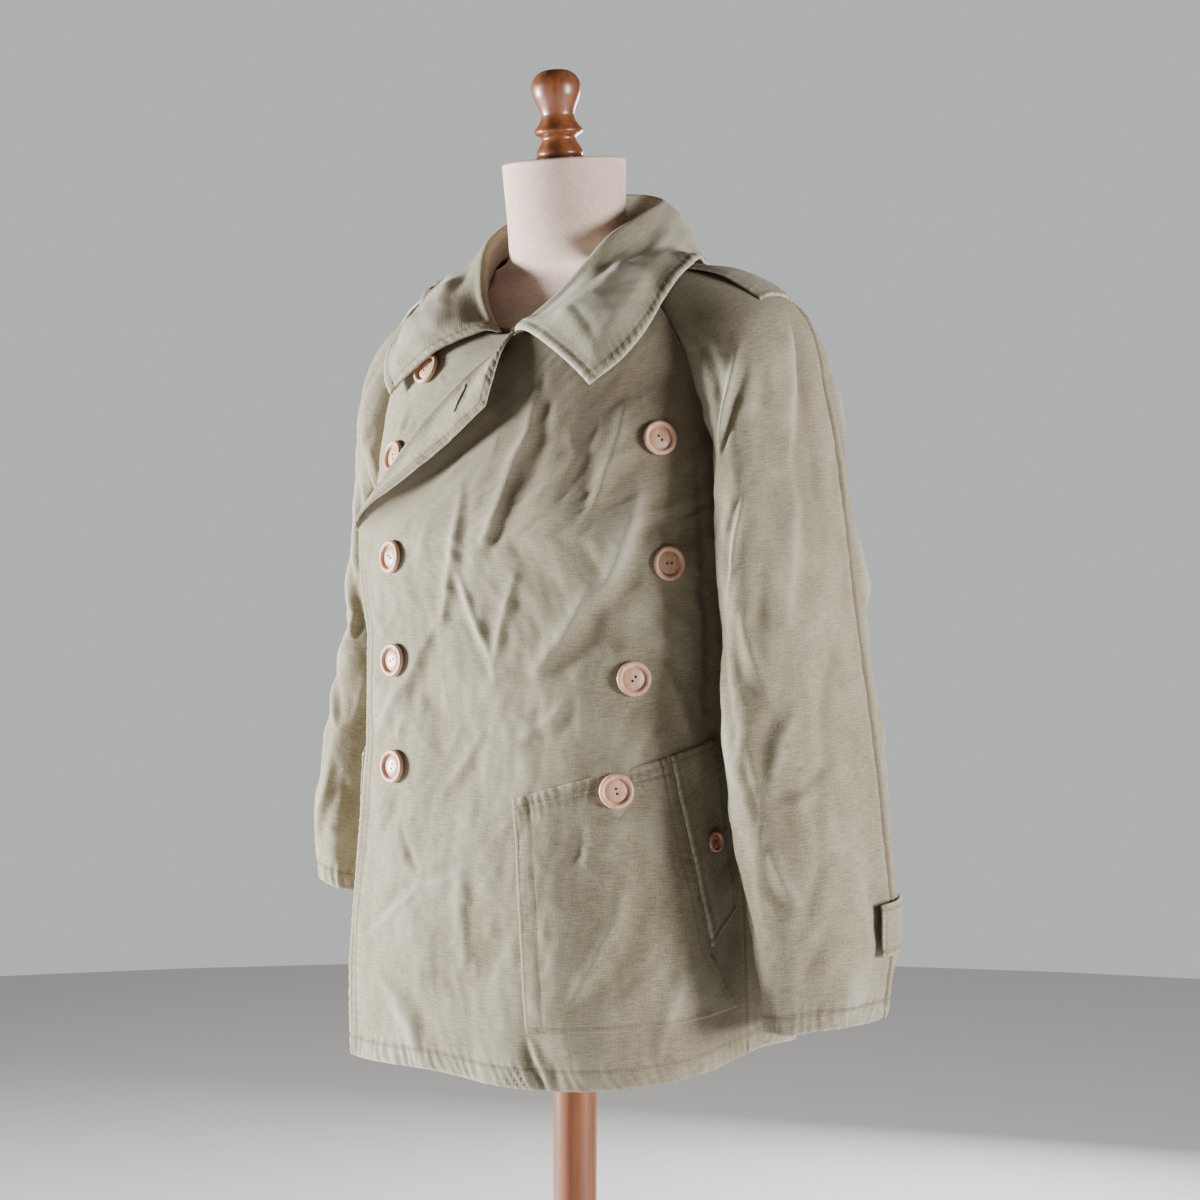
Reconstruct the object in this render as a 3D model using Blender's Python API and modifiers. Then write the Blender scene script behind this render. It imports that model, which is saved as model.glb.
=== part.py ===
"""A double-breasted canvas military jacket standing on a limbless dress form.

Metres, +Z up. The jacket faces -Y, so the wearer's left is +X. The origin is on the floor
under the middle of the stand. Angles round the body are in degrees from the centre front,
positive towards the wearer's left; levels count the sections of the body table, hem to neck.
"""

import math
from collections import namedtuple

import bmesh
import bpy
from mathutils import Matrix, Vector
from mathutils.bvhtree import BVHTree

# ---------------------------------------------------------------- driving dimensions
GAP = 0.0003                 # clearance between pieces that meet
SEAM_ROOM = 0.00012          # allowance for the flat facets on each side of a seam
CLOTH = 0.0016               # one layer of canvas with its turnings
FOLDED = 0.0024              # two layers: collar, straps and flaps
LAP_EASE = 0.0016            # air between the two fronts
HEM_MIDDLE_RISE = 0.0095     # the hem hangs higher by the free edge and at the sides
HEM_MIDDLE_ANGLE = -8
HEM_MIDDLE_SPAN = 26
HEM_SIDE_RISE = 0.011
HEM_SIDE_ANGLE = 100
HEM_SIDE_SPAN = 24
FLARE_SPAN = 20              # degrees over which the free front edge stands off
PATCH_EASE = 0.0011          # air under pockets and flaps
STRAP_EASE = 0.0009          # air under the straps where they are sewn down
STRAP_ARCH = 0.0040          # rise of the shoulder strap at its middle
STRAP_START = 0.34           # stations along the sleeve
STRAP_END = 0.98
STRAP_CENTRE = 0.005         # shares of the way round the sleeve
STRAP_SHARE_START = 0.040
STRAP_SHARE_END = 0.048
CUFF_STRAP_TOP = 1.30        # stations above the cuff edge
CUFF_STRAP_STATIONS = 0.55
CUFF_STRAP_START = 1.00
CUFF_STRAP_END = 0.70
CUFF_LOOP = 0.012
TAB_INSET = 0.0093            # neckband end inside the neck seam
STAND_INSET = 0.0034         # collar stand inside the neck seam

LEVEL_ARMPIT = 6
LEVEL_NECK = 10

# ---------------------------------------------------------------- tables
Section = namedtuple(
    "Section", "z_front z_side z_back half_width front back power "
               "left_edge right_edge front_seam back_seam flare")
BODY = (
    #       z_front z_side z_back  half_w front  back   power left right front back flare
    Section(0.692, 0.706, 0.706, 0.190, 0.170, 0.165, 2.90, -41, 40, 90, 90, 0.006),     # hem
    Section(0.780, 0.787, 0.787, 0.187, 0.167, 0.160, 2.90, -46, 40, 90, 90, 0.006),
    Section(0.880, 0.883, 0.883, 0.184, 0.162, 0.155, 2.90, -44, 40, 90, 90, 0.005),     # hip
    Section(0.980, 0.980, 0.980, 0.181, 0.157, 0.148, 2.90, -41, 40, 90, 90, 0.005),
    Section(1.080, 1.080, 1.080, 0.180, 0.153, 0.145, 2.85, -43, 40, 90, 90, 0.006),
    Section(1.165, 1.165, 1.165, 0.181, 0.149, 0.144, 2.80, -57, 40, 90, 90, 0.010),     # turn
    Section(1.207, 1.203, 1.205, 0.182, 0.145, 0.143, 2.70, -38, 38, 90, 90, 0.013),     # armpit
    Section(1.258, 1.262, 1.275, 0.180, 0.138, 0.139, 2.60, -21, 34, 80, 102, 0.012),
    Section(1.298, 1.325, 1.340, 0.168, 0.128, 0.126, 2.45, -6.5, 27, 74, 109, 0.008),
    Section(1.325, 1.383, 1.395, 0.133, 0.116, 0.102, 2.25, 6, 21, 69, 115, 0.002),
    Section(1.345, 1.428, 1.438, 0.078, 0.100, 0.062, 2.00, 12, 17, 60, 122, 0.000),     # neck
)

SleeveRow = namedtuple("SleeveRow", "under_x under_z over_x over_z middle_y depth")
LEFT_SLEEVE = (
    SleeveRow(0.1905, 1.194, 0.216, 1.372, 0.012, 0.080),
    SleeveRow(0.1935, 1.176, 0.247, 1.292, 0.006, 0.086),
    SleeveRow(0.1975, 1.140, 0.270, 1.190, 0.000, 0.088),
    SleeveRow(0.2000, 1.060, 0.285, 1.090, -0.003, 0.091),
    SleeveRow(0.2050, 0.975, 0.300, 0.990, -0.003, 0.096),
    SleeveRow(0.2120, 0.905, 0.309, 0.910, 0.000, 0.094),
    SleeveRow(0.2200, 0.830, 0.314, 0.830, 0.007, 0.088),
    SleeveRow(0.2280, 0.742, 0.310, 0.755, 0.006, 0.066),
)
RIGHT_SLEEVE = (
    SleeveRow(0.1905, 1.194, 0.210, 1.366, 0.015, 0.080),
    SleeveRow(0.1935, 1.176, 0.238, 1.290, 0.034, 0.086),
    SleeveRow(0.1975, 1.140, 0.262, 1.190, 0.048, 0.088),
    SleeveRow(0.2000, 1.075, 0.277, 1.100, 0.053, 0.091),
    SleeveRow(0.2040, 1.010, 0.290, 1.030, 0.050, 0.096),
    SleeveRow(0.2100, 0.950, 0.300, 0.965, 0.044, 0.095),
    SleeveRow(0.2170, 0.890, 0.306, 0.900, 0.030, 0.088),
    SleeveRow(0.2240, 0.822, 0.302, 0.845, 0.020, 0.070),
)
SEAM_SHARE = 0.06            # share of the sleeve's round taken by the neck edge, each side
OVERARM_SHIFT = 0.066        # share by which the over-arm seam runs behind the shoulder line
OVERARM_STATIONS = 1.6       # stations over which it gets there

FormRow = namedtuple("FormRow", "z half_width front back middle_y")
FORM = (
    FormRow(0.800, 0.150, 0.105, 0.115, 0.000),
    FormRow(0.860, 0.166, 0.116, 0.128, 0.000),
    FormRow(0.940, 0.160, 0.112, 0.118, 0.000),
    FormRow(1.030, 0.150, 0.106, 0.104, 0.000),
    FormRow(1.120, 0.162, 0.116, 0.112, 0.000),
    FormRow(1.200, 0.174, 0.124, 0.118, 0.000),
    FormRow(1.280, 0.178, 0.116, 0.116, 0.002),
    FormRow(1.325, 0.174, 0.090, 0.098, 0.006),
    FormRow(1.374, 0.162, 0.064, 0.074, 0.007),
    FormRow(1.4005, 0.130, 0.050, 0.060, 0.006),
    FormRow(1.4132, 0.094, 0.047, 0.054, 0.001),
    FormRow(1.422, 0.065, 0.049, 0.051, -0.005),
    FormRow(1.446, 0.056, 0.054, 0.050, -0.010),
    FormRow(1.509, 0.057, 0.057, 0.055, -0.016),
)

CollarRow = namedtuple("CollarRow", "angle roll_radius roll_z edge_x edge_y edge_z lift")
COLLAR = (
    CollarRow(6, 0.098, 1.348, 0.108, -0.118, 1.292, 0.008),
    CollarRow(17, 0.094, 1.363, 0.119, -0.099, 1.304, 0.010),
    CollarRow(30, 0.090, 1.382, 0.125, -0.083, 1.319, 0.0115),
    CollarRow(45, 0.086, 1.408, 0.128, -0.068, 1.337, 0.0105),
    CollarRow(60, 0.083, 1.432, 0.128, -0.046, 1.362, 0.0075),
    CollarRow(77, 0.082, 1.447, 0.131, -0.022, 1.381, 0.0065),
    CollarRow(92, 0.082, 1.458, 0.131, 0.001, 1.398, 0.0065),
    CollarRow(112, 0.081, 1.468, 0.122, 0.030, 1.412, 0.004),
    CollarRow(132, 0.080, 1.475, 0.102, 0.066, 1.410, 0.004),
    CollarRow(155, 0.076, 1.482, 0.060, 0.094, 1.398, 0.004),
    CollarRow(180, 0.073, 1.486, 0.000, 0.103, 1.392, 0.004),
)
COLLAR_CENTRE = Vector((0.0, 0.01, 1.22))      # the fall is draped away from this point

LapelRow = namedtuple("LapelRow", "fold_level angle z hover")
LAPEL = (
    LapelRow(9.55, 11, 1.340, 0.003),
    LapelRow(9.00, 10.9, 1.318, 0.009),
    LapelRow(8.30, 10.9, 1.290, 0.016),
    LapelRow(7.80, 10.3, 1.2735, 0.018),     # corner
    LapelRow(7.35, 0.6, 1.255, 0.017),
    LapelRow(6.80, -15.3, 1.230, 0.013),
    LapelRow(6.10, -31.4, 1.2045, 0.008),
    LapelRow(5.15, -50.5, 1.179, 0.002),
)

Patch = namedtuple("Patch", "top_left top_right bottom_right bottom_left")   # (angle, height)
LEFT_POCKET = Patch((20.5, 0.941), (61.5, 0.979), (86, 0.757), (25.5, 0.744))
LEFT_POCKET_CORNER = (73.9, 0.812)       # lower end of the slanted opening
LEFT_FLAP = Patch((62.4, 0.979), (79, 0.992), (86, 0.843), (74.8, 0.814))
RIGHT_POCKET = Patch((-65, 0.979), (-51, 0.968), (-53, 0.744), (-86, 0.757))
RIGHT_POCKET_CORNER = (-75.9, 0.812)
RIGHT_FLAP = Patch((-79, 0.992), (-66, 0.979), (-76.8, 0.814), (-86, 0.843))

ButtonPlace = namedtuple("ButtonPlace", "angle z carrier")
FRONT_BUTTONS = (
    ButtonPlace(-33, 1.316, "right_front"),
    ButtonPlace(-39, 1.238, "right_front"),
    ButtonPlace(-33, 1.148, "left_front"),
    ButtonPlace(-29.5, 1.056, "left_front"),
    ButtonPlace(-27.5, 0.962, "left_front"),
    ButtonPlace(61, 1.249, "left_front"),
    ButtonPlace(62.5, 1.143, "left_front"),
    ButtonPlace(53, 1.045, "left_front"),
    ButtonPlace(48.5, 0.951, "left_pocket"),
)
FLAP_BUTTONS = (
    ButtonPlace(76.5, 0.903, "left_pocket_flap"),
    ButtonPlace(-77.0, 0.903, "right_pocket_flap"),
)

BUTTON_RADIUS = 0.0150
BUTTON_HEIGHT = 0.0050
SMALL_BUTTON_RADIUS = 0.0090
SMALL_BUTTON_HEIGHT = 0.0034

BASE_RADIUS = 0.205
BASE_HEIGHT = 0.026
HUB_RADIUS = 0.036
HUB_TOP = 0.075
POLE_RADIUS = 0.0200
NECK_TILT = math.radians(5.5)
NECK_TOP = Vector((0.0, -0.016, 1.509))

OLIVE = (0.235, 0.215, 0.140)
OLIVE_PALE = (0.300, 0.275, 0.185)
LINEN = (0.720, 0.610, 0.520)
VARNISHED_WOOD = (0.450, 0.180, 0.060)
BUTTON_TAN = (0.720, 0.450, 0.320)
BUTTON_RED = (0.420, 0.170, 0.090)


# ---------------------------------------------------------------- scene helpers
def clear_scene():
    for old in list(bpy.data.objects):
        bpy.data.objects.remove(old, do_unlink=True)


def new_collection(name):
    collection = bpy.data.collections.new(name)
    bpy.context.scene.collection.children.link(collection)
    return collection


def finish_material(name, colour, roughness, metallic=0.0):
    material = bpy.data.materials.new(name)
    material.use_nodes = True
    shader = material.node_tree.nodes["Principled BSDF"]
    shader.inputs["Base Color"].default_value = (*colour, 1.0)
    shader.inputs["Roughness"].default_value = roughness
    shader.inputs["Metallic"].default_value = metallic
    return material


def add_object(name, mesh, colour, roughness):
    piece = bpy.data.objects.new(name, mesh)
    JACKET.objects.link(piece)
    mesh.materials.append(finish_material(name + "_finish", colour, roughness))
    return piece


# ---------------------------------------------------------------- interpolation
def spline_value(rows, column, position):
    """Catmull-Rom value of one named column at a fractional row number."""
    last = len(rows) - 1
    index = max(0, min(int(position), last - 1))
    t = position - index
    before, start, end, after = (
        getattr(rows[max(0, min(index + step, last))], column) for step in (-1, 0, 1, 2))
    return 0.5 * (2 * start + (end - before) * t
                  + (2 * before - 5 * start + 4 * end - after) * t ** 2
                  + (3 * start - before - 3 * end + after) * t ** 3)


def linear_value(rows, column, position):
    last = len(rows) - 1
    index = max(0, min(int(position), last - 1))
    start = getattr(rows[index], column)
    end = getattr(rows[index + 1], column)
    return start + (end - start) * (position - index)


def smooth(t):
    t = max(0.0, min(1.0, t))
    return t * t * (3 - 2 * t)


def mix(start, end, share):
    return start + (end - start) * share


# ---------------------------------------------------------------- the jacket's body surface
def hem_rise(angle):
    """How far the hem hangs above its own level: near the free edge and at both sides."""
    away = min(abs(angle % 360 - HEM_SIDE_ANGLE), abs(360 - HEM_SIDE_ANGLE - angle % 360))
    middle = (angle + 180) % 360 - 180 - HEM_MIDDLE_ANGLE
    return (HEM_MIDDLE_RISE * math.exp(-(middle / HEM_MIDDLE_SPAN) ** 2)
            + HEM_SIDE_RISE * math.exp(-(away / HEM_SIDE_SPAN) ** 2))


def body_point(angle, level):
    """Inner face of the body cloth at an angle round the body and a fractional level."""
    turn = math.radians(angle)
    side, front = math.sin(turn), math.cos(turn)
    half_width = spline_value(BODY, "half_width", level)
    depth = spline_value(BODY, "front" if front > 0 else "back", level)
    power = spline_value(BODY, "power", level)
    radius = (abs(side / half_width) ** power + abs(front / depth) ** power) ** (-1 / power)
    z_side = spline_value(BODY, "z_side", level)
    z_end = spline_value(BODY, "z_front" if front > 0 else "z_back", level)
    z = z_side + (z_end - z_side) * front ** 2 + hem_rise(angle) * max(0.0, 1 - level)
    return Vector((radius * side, -radius * front, z))


def body_normal(angle, level):
    low = max(0.0, level - 0.02)
    high = min(float(LEVEL_NECK), level + 0.02)
    along = body_point(angle + 0.5, level) - body_point(angle - 0.5, level)
    upward = body_point(angle, high) - body_point(angle, low)
    return along.cross(upward).normalized()


def level_at(angle, z):
    low, high = 0.0, float(LEVEL_NECK)
    for _ in range(30):
        middle = (low + high) / 2
        if body_point(angle, middle).z < z:
            low = middle
        else:
            high = middle
    return low


def seam_angle(column, level):
    """Side seam below the armpit, raglan seam above it."""
    if level <= LEVEL_ARMPIT:
        return 90.0
    return spline_value(BODY, column, level)


def left_lift(angle, level):
    """How far the outer front stands off the body surface: over the lap, and at its free edge."""
    seam = seam_angle("front_seam", level)
    fade = smooth((seam - 2 - angle) / (seam - 2 - 42))
    edge = linear_value(BODY, "left_edge", level)
    free = max(0.0, min(1.0, 1 - (angle - edge) / FLARE_SPAN))
    return fade * (CLOTH + LAP_EASE) + linear_value(BODY, "flare", level) * free ** 2


def front_point(angle, level, lift, left=True):
    stand_off = left_lift(angle, level) if left else 0.0
    return body_point(angle, level) + body_normal(angle, level) * (stand_off + lift)


# ---------------------------------------------------------------- cloth solids
def wall(name, grid, outs, thickness, colour, roughness=0.9):
    """Closed cloth solid: a grid of inner points, the same points moved out, and the rim."""
    mesh = bpy.data.meshes.new(name)
    build = bmesh.new()
    inner = [[build.verts.new(p) for p in row] for row in grid]
    outer = [[build.verts.new(p + out * thickness) for p, out in zip(row, out_row)]
             for row, out_row in zip(grid, outs)]
    rows, columns = len(grid), len(grid[0])
    for i in range(rows - 1):
        for j in range(columns - 1):
            build.faces.new((outer[i][j], outer[i][j + 1], outer[i + 1][j + 1], outer[i + 1][j]))
            build.faces.new((inner[i][j], inner[i + 1][j], inner[i + 1][j + 1], inner[i][j + 1]))
    edge = ([(0, j) for j in range(columns)] + [(i, columns - 1) for i in range(1, rows)]
            + [(rows - 1, j) for j in range(columns - 2, -1, -1)]
            + [(i, 0) for i in range(rows - 2, 0, -1)])
    for (a, b), (c, d) in zip(edge, edge[1:] + edge[:1]):
        build.faces.new((inner[a][b], inner[c][d], outer[c][d], outer[a][b]))
    middle = (rows - 1) // 2, (columns - 1) // 2
    across = grid[middle[0]][middle[1] + 1] - grid[middle[0]][middle[1]]
    upward = grid[middle[0] + 1][middle[1]] - grid[middle[0]][middle[1]]
    if across.cross(upward).dot(outs[middle[0]][middle[1]]) < 0:
        bmesh.ops.reverse_faces(build, faces=build.faces)
    bmesh.ops.triangulate(build, faces=build.faces[:], quad_method="SHORT_EDGE")
    build.to_mesh(mesh)
    build.free()
    mesh.shade_smooth()
    mesh.set_sharp_from_angle(angle=math.radians(50))
    return add_object(name, mesh, colour, roughness)


def inset(line, inner, outs):
    """Move a boundary line half a seam gap towards its inner neighbour, square to the rim."""
    across = []
    for k, (start, end) in enumerate(zip(line, line[1:])):
        out = outs[k] + outs[k + 1]
        across.append((end - start).cross(out).normalized())
    before = [across[0]] + across
    after = across + [across[-1]]
    inwards = sum((a + b).dot(q - p) for a, b, p, q in zip(before, after, line, inner))
    reach = math.copysign(GAP / 2 + SEAM_ROOM, inwards)
    return [point + (a + b) * (reach / (1 + max(0.0, a.dot(b))))
            for point, a, b in zip(line, before, after)]


def pull_in(grid, outs, bottom=False, top=False):
    """Draw the side columns, and the end rows if asked, in by half a seam gap."""
    first = inset([row[0] for row in grid], [row[1] for row in grid], [row[0] for row in outs])
    last = inset([row[-1] for row in grid], [row[-2] for row in grid], [row[-1] for row in outs])
    for row, left, right in zip(grid, first, last):
        row[0], row[-1] = left, right
    if bottom:
        grid[0] = inset(grid[0], grid[1], outs[0])
    if top:
        grid[-1] = inset(grid[-1], grid[-2], outs[-1])
    return grid


def surface_normals(grid, flip=False):
    """Unit normals of a grid by differences between neighbours."""
    rows, columns = len(grid), len(grid[0])
    normals = []
    for i in range(rows):
        row = []
        for j in range(columns):
            across = grid[i][min(j + 1, columns - 1)] - grid[i][max(j - 1, 0)]
            upward = grid[min(i + 1, rows - 1)][j] - grid[max(i - 1, 0)][j]
            normal = across.cross(upward).normalized()
            row.append(-normal if flip else normal)
        normals.append(row)
    return normals


def spread(start, end, count):
    return [mix(start, end, k / (count - 1)) for k in range(count)]


# ---------------------------------------------------------------- raglan sleeves
def raglan_place(share):
    """Angle and level of the sleeve's seam: 0 at the shoulder, 0.5 at the armpit."""
    front = share <= 0.5
    part = share if front else 1 - share
    column = "front_seam" if front else "back_seam"
    if part <= SEAM_SHARE:
        return mix(90.0, seam_angle(column, LEVEL_NECK), part / SEAM_SHARE), float(LEVEL_NECK)
    down = (part - SEAM_SHARE) / (0.5 - SEAM_SHARE)
    level = mix(LEVEL_NECK, LEVEL_ARMPIT, down)
    return seam_angle(column, level), level


def sleeve_ring_point(row, side, share):
    turn = 2 * math.pi * share
    under = Vector((row.under_x, 0.0, row.under_z))
    over = Vector((row.over_x, 0.0, row.over_z))
    point = (under + over) / 2 + (over - under) / 2 * math.cos(turn)
    point.y = row.middle_y - row.depth * math.sin(turn)
    point.x *= side
    return point


def sleeve_line(rows, side, share):
    """Points and tangents of one lengthwise line, seam to cuff."""
    angle, level = raglan_place(share)
    start = body_point(side * angle, level)
    normal = body_normal(side * angle, level)
    points = [start] + [sleeve_ring_point(row, side, share) for row in rows]
    spans = [(b - a).length for a, b in zip(points, points[1:])]
    chord = (points[1] - start).normalized()
    lean = smooth((min(share, 1 - share) - 0.28) / 0.18)
    first = (chord - normal * (chord.dot(normal) * (1 - lean) - 0.5 * lean)).normalized()
    tangents = [first]
    for k in range(1, len(points) - 1):
        tangents.append((points[k + 1] - points[k - 1]) / (spans[k] + spans[k - 1]))
    tangents.append((points[-1] - points[-2]) / spans[-1])
    return points, tangents, spans


def sleeve_point(line, station):
    """Point at a fractional station along a lengthwise line: 0 is the seam."""
    points, tangents, spans = line
    index = max(0, min(int(station), len(spans) - 1))
    t = station - index
    start, end = points[index], points[index + 1]
    pull_start = tangents[index] * spans[index]
    pull_end = tangents[index + 1] * spans[index]
    return (start * (2 * t ** 3 - 3 * t ** 2 + 1) + pull_start * (t ** 3 - 2 * t ** 2 + t)
            + end * (3 * t ** 2 - 2 * t ** 3) + pull_end * (t ** 3 - t ** 2))


def sleeve_surface(rows, side, share, station):
    return sleeve_point(sleeve_line(rows, side, share % 1.0), station)


def tube_normal(rows, side, share, station):
    """Outward normal of the sleeve's own surface."""
    step = 0.01
    round_arm = (sleeve_surface(rows, side, share + step, station)
                 - sleeve_surface(rows, side, share - step, station))
    along = (sleeve_surface(rows, side, share, min(float(len(rows)), station + 0.05))
             - sleeve_surface(rows, side, share, max(0.0, station - 0.05)))
    return round_arm.cross(along).normalized() * side


def seam_normal(rows, side, share):
    """Normal on the raglan seam, between the body's and the sleeve's, shared by both walls."""
    angle, level = raglan_place(share % 1.0)
    body = body_normal(side * angle, level)
    own = tube_normal(rows, side, share, 0.15)
    droop = Vector((0.0, 0.0, -0.4)) * max(0.0, 0.5 - body.dot(own))
    return (body + own + droop).normalized()


def sleeve_normal(rows, side, share, station):
    if station < 0.001:
        return seam_normal(rows, side, share)
    return tube_normal(rows, side, share, station)


SLEEVE_STATIONS = (0, 0.25, 0.5, 0.75, 1, 1.5, 2, 2.5, 3, 3.5, 4, 5, 6, 7, 8)
SEAM_LEVELS = (10, 9.5, 9, 8.5, 8, 7.5, 7, 6.5, 6)


def half_shares():
    """Shares round the front half of a sleeve, one at every level of the panels' edges."""
    drop = LEVEL_NECK - LEVEL_ARMPIT
    return [0.0, SEAM_SHARE / 2] + [mix(SEAM_SHARE, 0.5, (LEVEL_NECK - level) / drop)
                                    for level in SEAM_LEVELS]


def seam_shift(share, station):
    """Share on the sleeve of a line cut at that share: the over-arm seam leans to the back."""
    lean = OVERARM_SHIFT * smooth(station / OVERARM_STATIONS)
    return share - lean * math.cos(math.pi * share) ** 2


def make_sleeve_half(name, rows, side, front):
    shares = half_shares() if front else [1 - share for share in reversed(half_shares())]
    grid, outs = [], []
    for station in SLEEVE_STATIONS:
        places = [seam_shift(share, station) for share in shares]
        grid.append([sleeve_surface(rows, side, place, station) for place in places])
        outs.append([sleeve_normal(rows, side, place, station) for place in places])
    return wall(name, pull_in(grid, outs, bottom=True), outs, CLOTH, OLIVE)


# ---------------------------------------------------------------- fronts and back
PANEL_LEVELS = (0, 0.5, 1, 2, 3, 4, 5, 5.5, 6, 6.5, 7, 7.5, 8, 8.5, 9, 9.5, 10)
PANEL_COLUMNS = 19


def make_panel(name, first_edge, last_edge, stand_off):
    """A body panel between two edges, each a function of the level giving angle and normal."""
    grid, outs = [], []
    for level in PANEL_LEVELS:
        first_angle, first_normal = first_edge(level)
        last_angle, last_normal = last_edge(level)
        angles = spread(first_angle, last_angle, PANEL_COLUMNS)
        normals = [body_normal(angle, level) for angle in angles]
        grid.append([body_point(angle, level) + normal * stand_off(angle, level)
                     for angle, normal in zip(angles, normals)])
        normals[0] = first_normal or normals[0]
        normals[-1] = last_normal or normals[-1]
        outs.append(normals)
    return wall(name, pull_in(grid, outs, top=True), outs, CLOTH, OLIVE)


def sleeve_edge(rows, side, column):
    """The edge of a panel along the side seam and, above the armpit, the raglan seam."""
    def edge(level):
        angle = seam_angle(column, level)
        normal = None
        if level >= LEVEL_ARMPIT:
            part = mix(SEAM_SHARE, 0.5, (LEVEL_NECK - level) / (LEVEL_NECK - LEVEL_ARMPIT))
            normal = seam_normal(rows, side, part if column == "front_seam" else 1 - part)
        return (angle if side > 0 else (-angle if column == "front_seam" else 360 - angle)), normal
    return edge


def free_edge(column):
    return lambda level: (linear_value(BODY, column, level), None)


def make_fronts_and_back():
    left_front = make_panel("left_front", free_edge("left_edge"),
                            sleeve_edge(LEFT_SLEEVE, 1, "front_seam"), left_lift)
    right_front = make_panel("right_front", sleeve_edge(RIGHT_SLEEVE, -1, "front_seam"),
                             free_edge("right_edge"), lambda angle, level: 0.0)
    back = make_panel("back", sleeve_edge(LEFT_SLEEVE, 1, "back_seam"),
                      sleeve_edge(RIGHT_SLEEVE, -1, "back_seam"), lambda angle, level: 0.0)
    return left_front, right_front, back


# ---------------------------------------------------------------- pieces draped on others
def tree_of(pieces):
    vertices, polygons = [], []
    for piece in pieces:
        first = len(vertices)
        vertices += [vertex.co.copy() for vertex in piece.data.vertices]
        polygons += [[first + index for index in polygon.vertices]
                     for polygon in piece.data.polygons]
    return BVHTree.FromPolygons(vertices, polygons)


def push_clear(tree, point, centre, lift):
    """Move a point away from the centre until it stands the lift clear of the cloth below."""
    direction = (point - centre).normalized()
    reach = 0.25
    hit = tree.ray_cast(centre + direction * (reach + 0.2), -direction, reach + 0.19)[0]
    if hit is None:
        return point
    wanted = (hit - centre).length + lift
    return centre + direction * max((point - centre).length, wanted)


# ---------------------------------------------------------------- collar
COLLAR_COLUMNS = 33
FALL_STEPS = 6
ROLL_RADIUS = 0.0035
RIGHT_LEAF_LIFT = 1.3        # the right leaf rests on the top button


def collar_row(position):
    return {column: spline_value(COLLAR, column, position) for column in CollarRow._fields}


def collar_profile(side, position, tree):
    """One section of the collar: neck seam, stand, roll, then the fall out to its edge."""
    row = collar_row(position)
    turn = math.radians(row["angle"])
    outward = Vector((side * math.sin(turn), -math.cos(turn), 0.0))
    neck = body_point(side * row["angle"], LEVEL_NECK)
    roll = outward * row["roll_radius"]
    roll.z = row["roll_z"]
    edge = Vector((side * row["edge_x"], row["edge_y"], row["edge_z"]))
    stand_foot = neck - outward * STAND_INSET + Vector((0, 0, GAP))
    stand_top = roll - outward * ROLL_RADIUS - Vector((0, 0, ROLL_RADIUS))
    stand_foot.z = min(stand_foot.z, stand_top.z - 0.001)
    away = (edge - roll).normalized()
    shoulder = roll + away * (2 * ROLL_RADIUS) + outward * ROLL_RADIUS * 0.5
    profile = [stand_foot, mix(stand_foot, stand_top, 0.6), stand_top, roll]
    for step in range(FALL_STEPS + 1):
        share = step / FALL_STEPS
        point = mix(shoulder, edge, share)
        lift = row["lift"] * (0.6 + 0.4 * share) * (1.0 if side > 0 else RIGHT_LEAF_LIFT)
        profile.append(push_clear(tree, point, COLLAR_CENTRE, lift))
    return profile


def make_collar(carriers):
    tree = tree_of(carriers)
    last = len(COLLAR) - 1
    half = COLLAR_COLUMNS // 2
    columns = [collar_profile(1, last * k / half, tree) for k in range(half)]
    columns.append(collar_profile(1, last, tree))
    columns += [collar_profile(-1, last * k / half, tree) for k in range(half - 1, -1, -1)]
    grid = [[column[i] for column in columns] for i in range(len(columns[0]))]
    outs = surface_normals(grid, flip=True)
    return wall("collar", grid, outs, FOLDED, OLIVE_PALE)


# ---------------------------------------------------------------- lapel, pockets, straps, tab
LAPEL_STEPS = 15
LAPEL_ACROSS = 6


def make_lapel():
    """The turned-back corner: it leaves the fold on the outer front and hovers at its free edge."""
    grid = []
    last = len(LAPEL) - 1
    for along in spread(0, last, LAPEL_STEPS):
        level = linear_value(LAPEL, "fold_level", along)
        fold_angle = linear_value(BODY, "left_edge", level) + 0.4
        free_angle = linear_value(LAPEL, "angle", along)
        free_level = level_at(free_angle, linear_value(LAPEL, "z", along))
        hover = linear_value(LAPEL, "hover", along)
        row = []
        for share in spread(0, 1, LAPEL_ACROSS):
            lift = CLOTH + 6 * GAP + hover * smooth(share * 1.2)
            row.append(front_point(mix(fold_angle, free_angle, share),
                                   mix(level, free_level, share), lift))
        grid.append(row)
    grid.reverse()
    return wall("left_lapel", grid, surface_normals(grid), CLOTH, OLIVE_PALE)


PATCH_STEPS = 9


CORNER_UP = 0.25             # how far up a pocket's edge its lower corner stands


def edge_place(bottom, corner, top, up):
    """Place on a pocket's edge, which turns at its corner if it has one."""
    if corner is None:
        return [mix(a, b, up) for a, b in zip(bottom, top)]
    if up < CORNER_UP:
        return [mix(a, b, up / CORNER_UP) for a, b in zip(bottom, corner)]
    return [mix(a, b, (up - CORNER_UP) / (1 - CORNER_UP)) for a, b in zip(corner, top)]


def patch_grid(corners, stand_off, left, columns=PATCH_STEPS, rows=PATCH_STEPS, corner=None):
    """Grid over a patch of a front, moved out from the front's own points."""
    grid = []
    for up in spread(0, 1, rows):
        start = edge_place(corners.bottom_left, None if left else corner, corners.top_left, up)
        end = edge_place(corners.bottom_right, corner if left else None, corners.top_right, up)
        row = []
        for across in spread(0, 1, columns):
            angle = mix(start[0], end[0], across)
            level = level_at(angle, mix(start[1], end[1], across))
            row.append(front_point(angle, level, stand_off, left))
        grid.append(row)
    return grid


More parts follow.
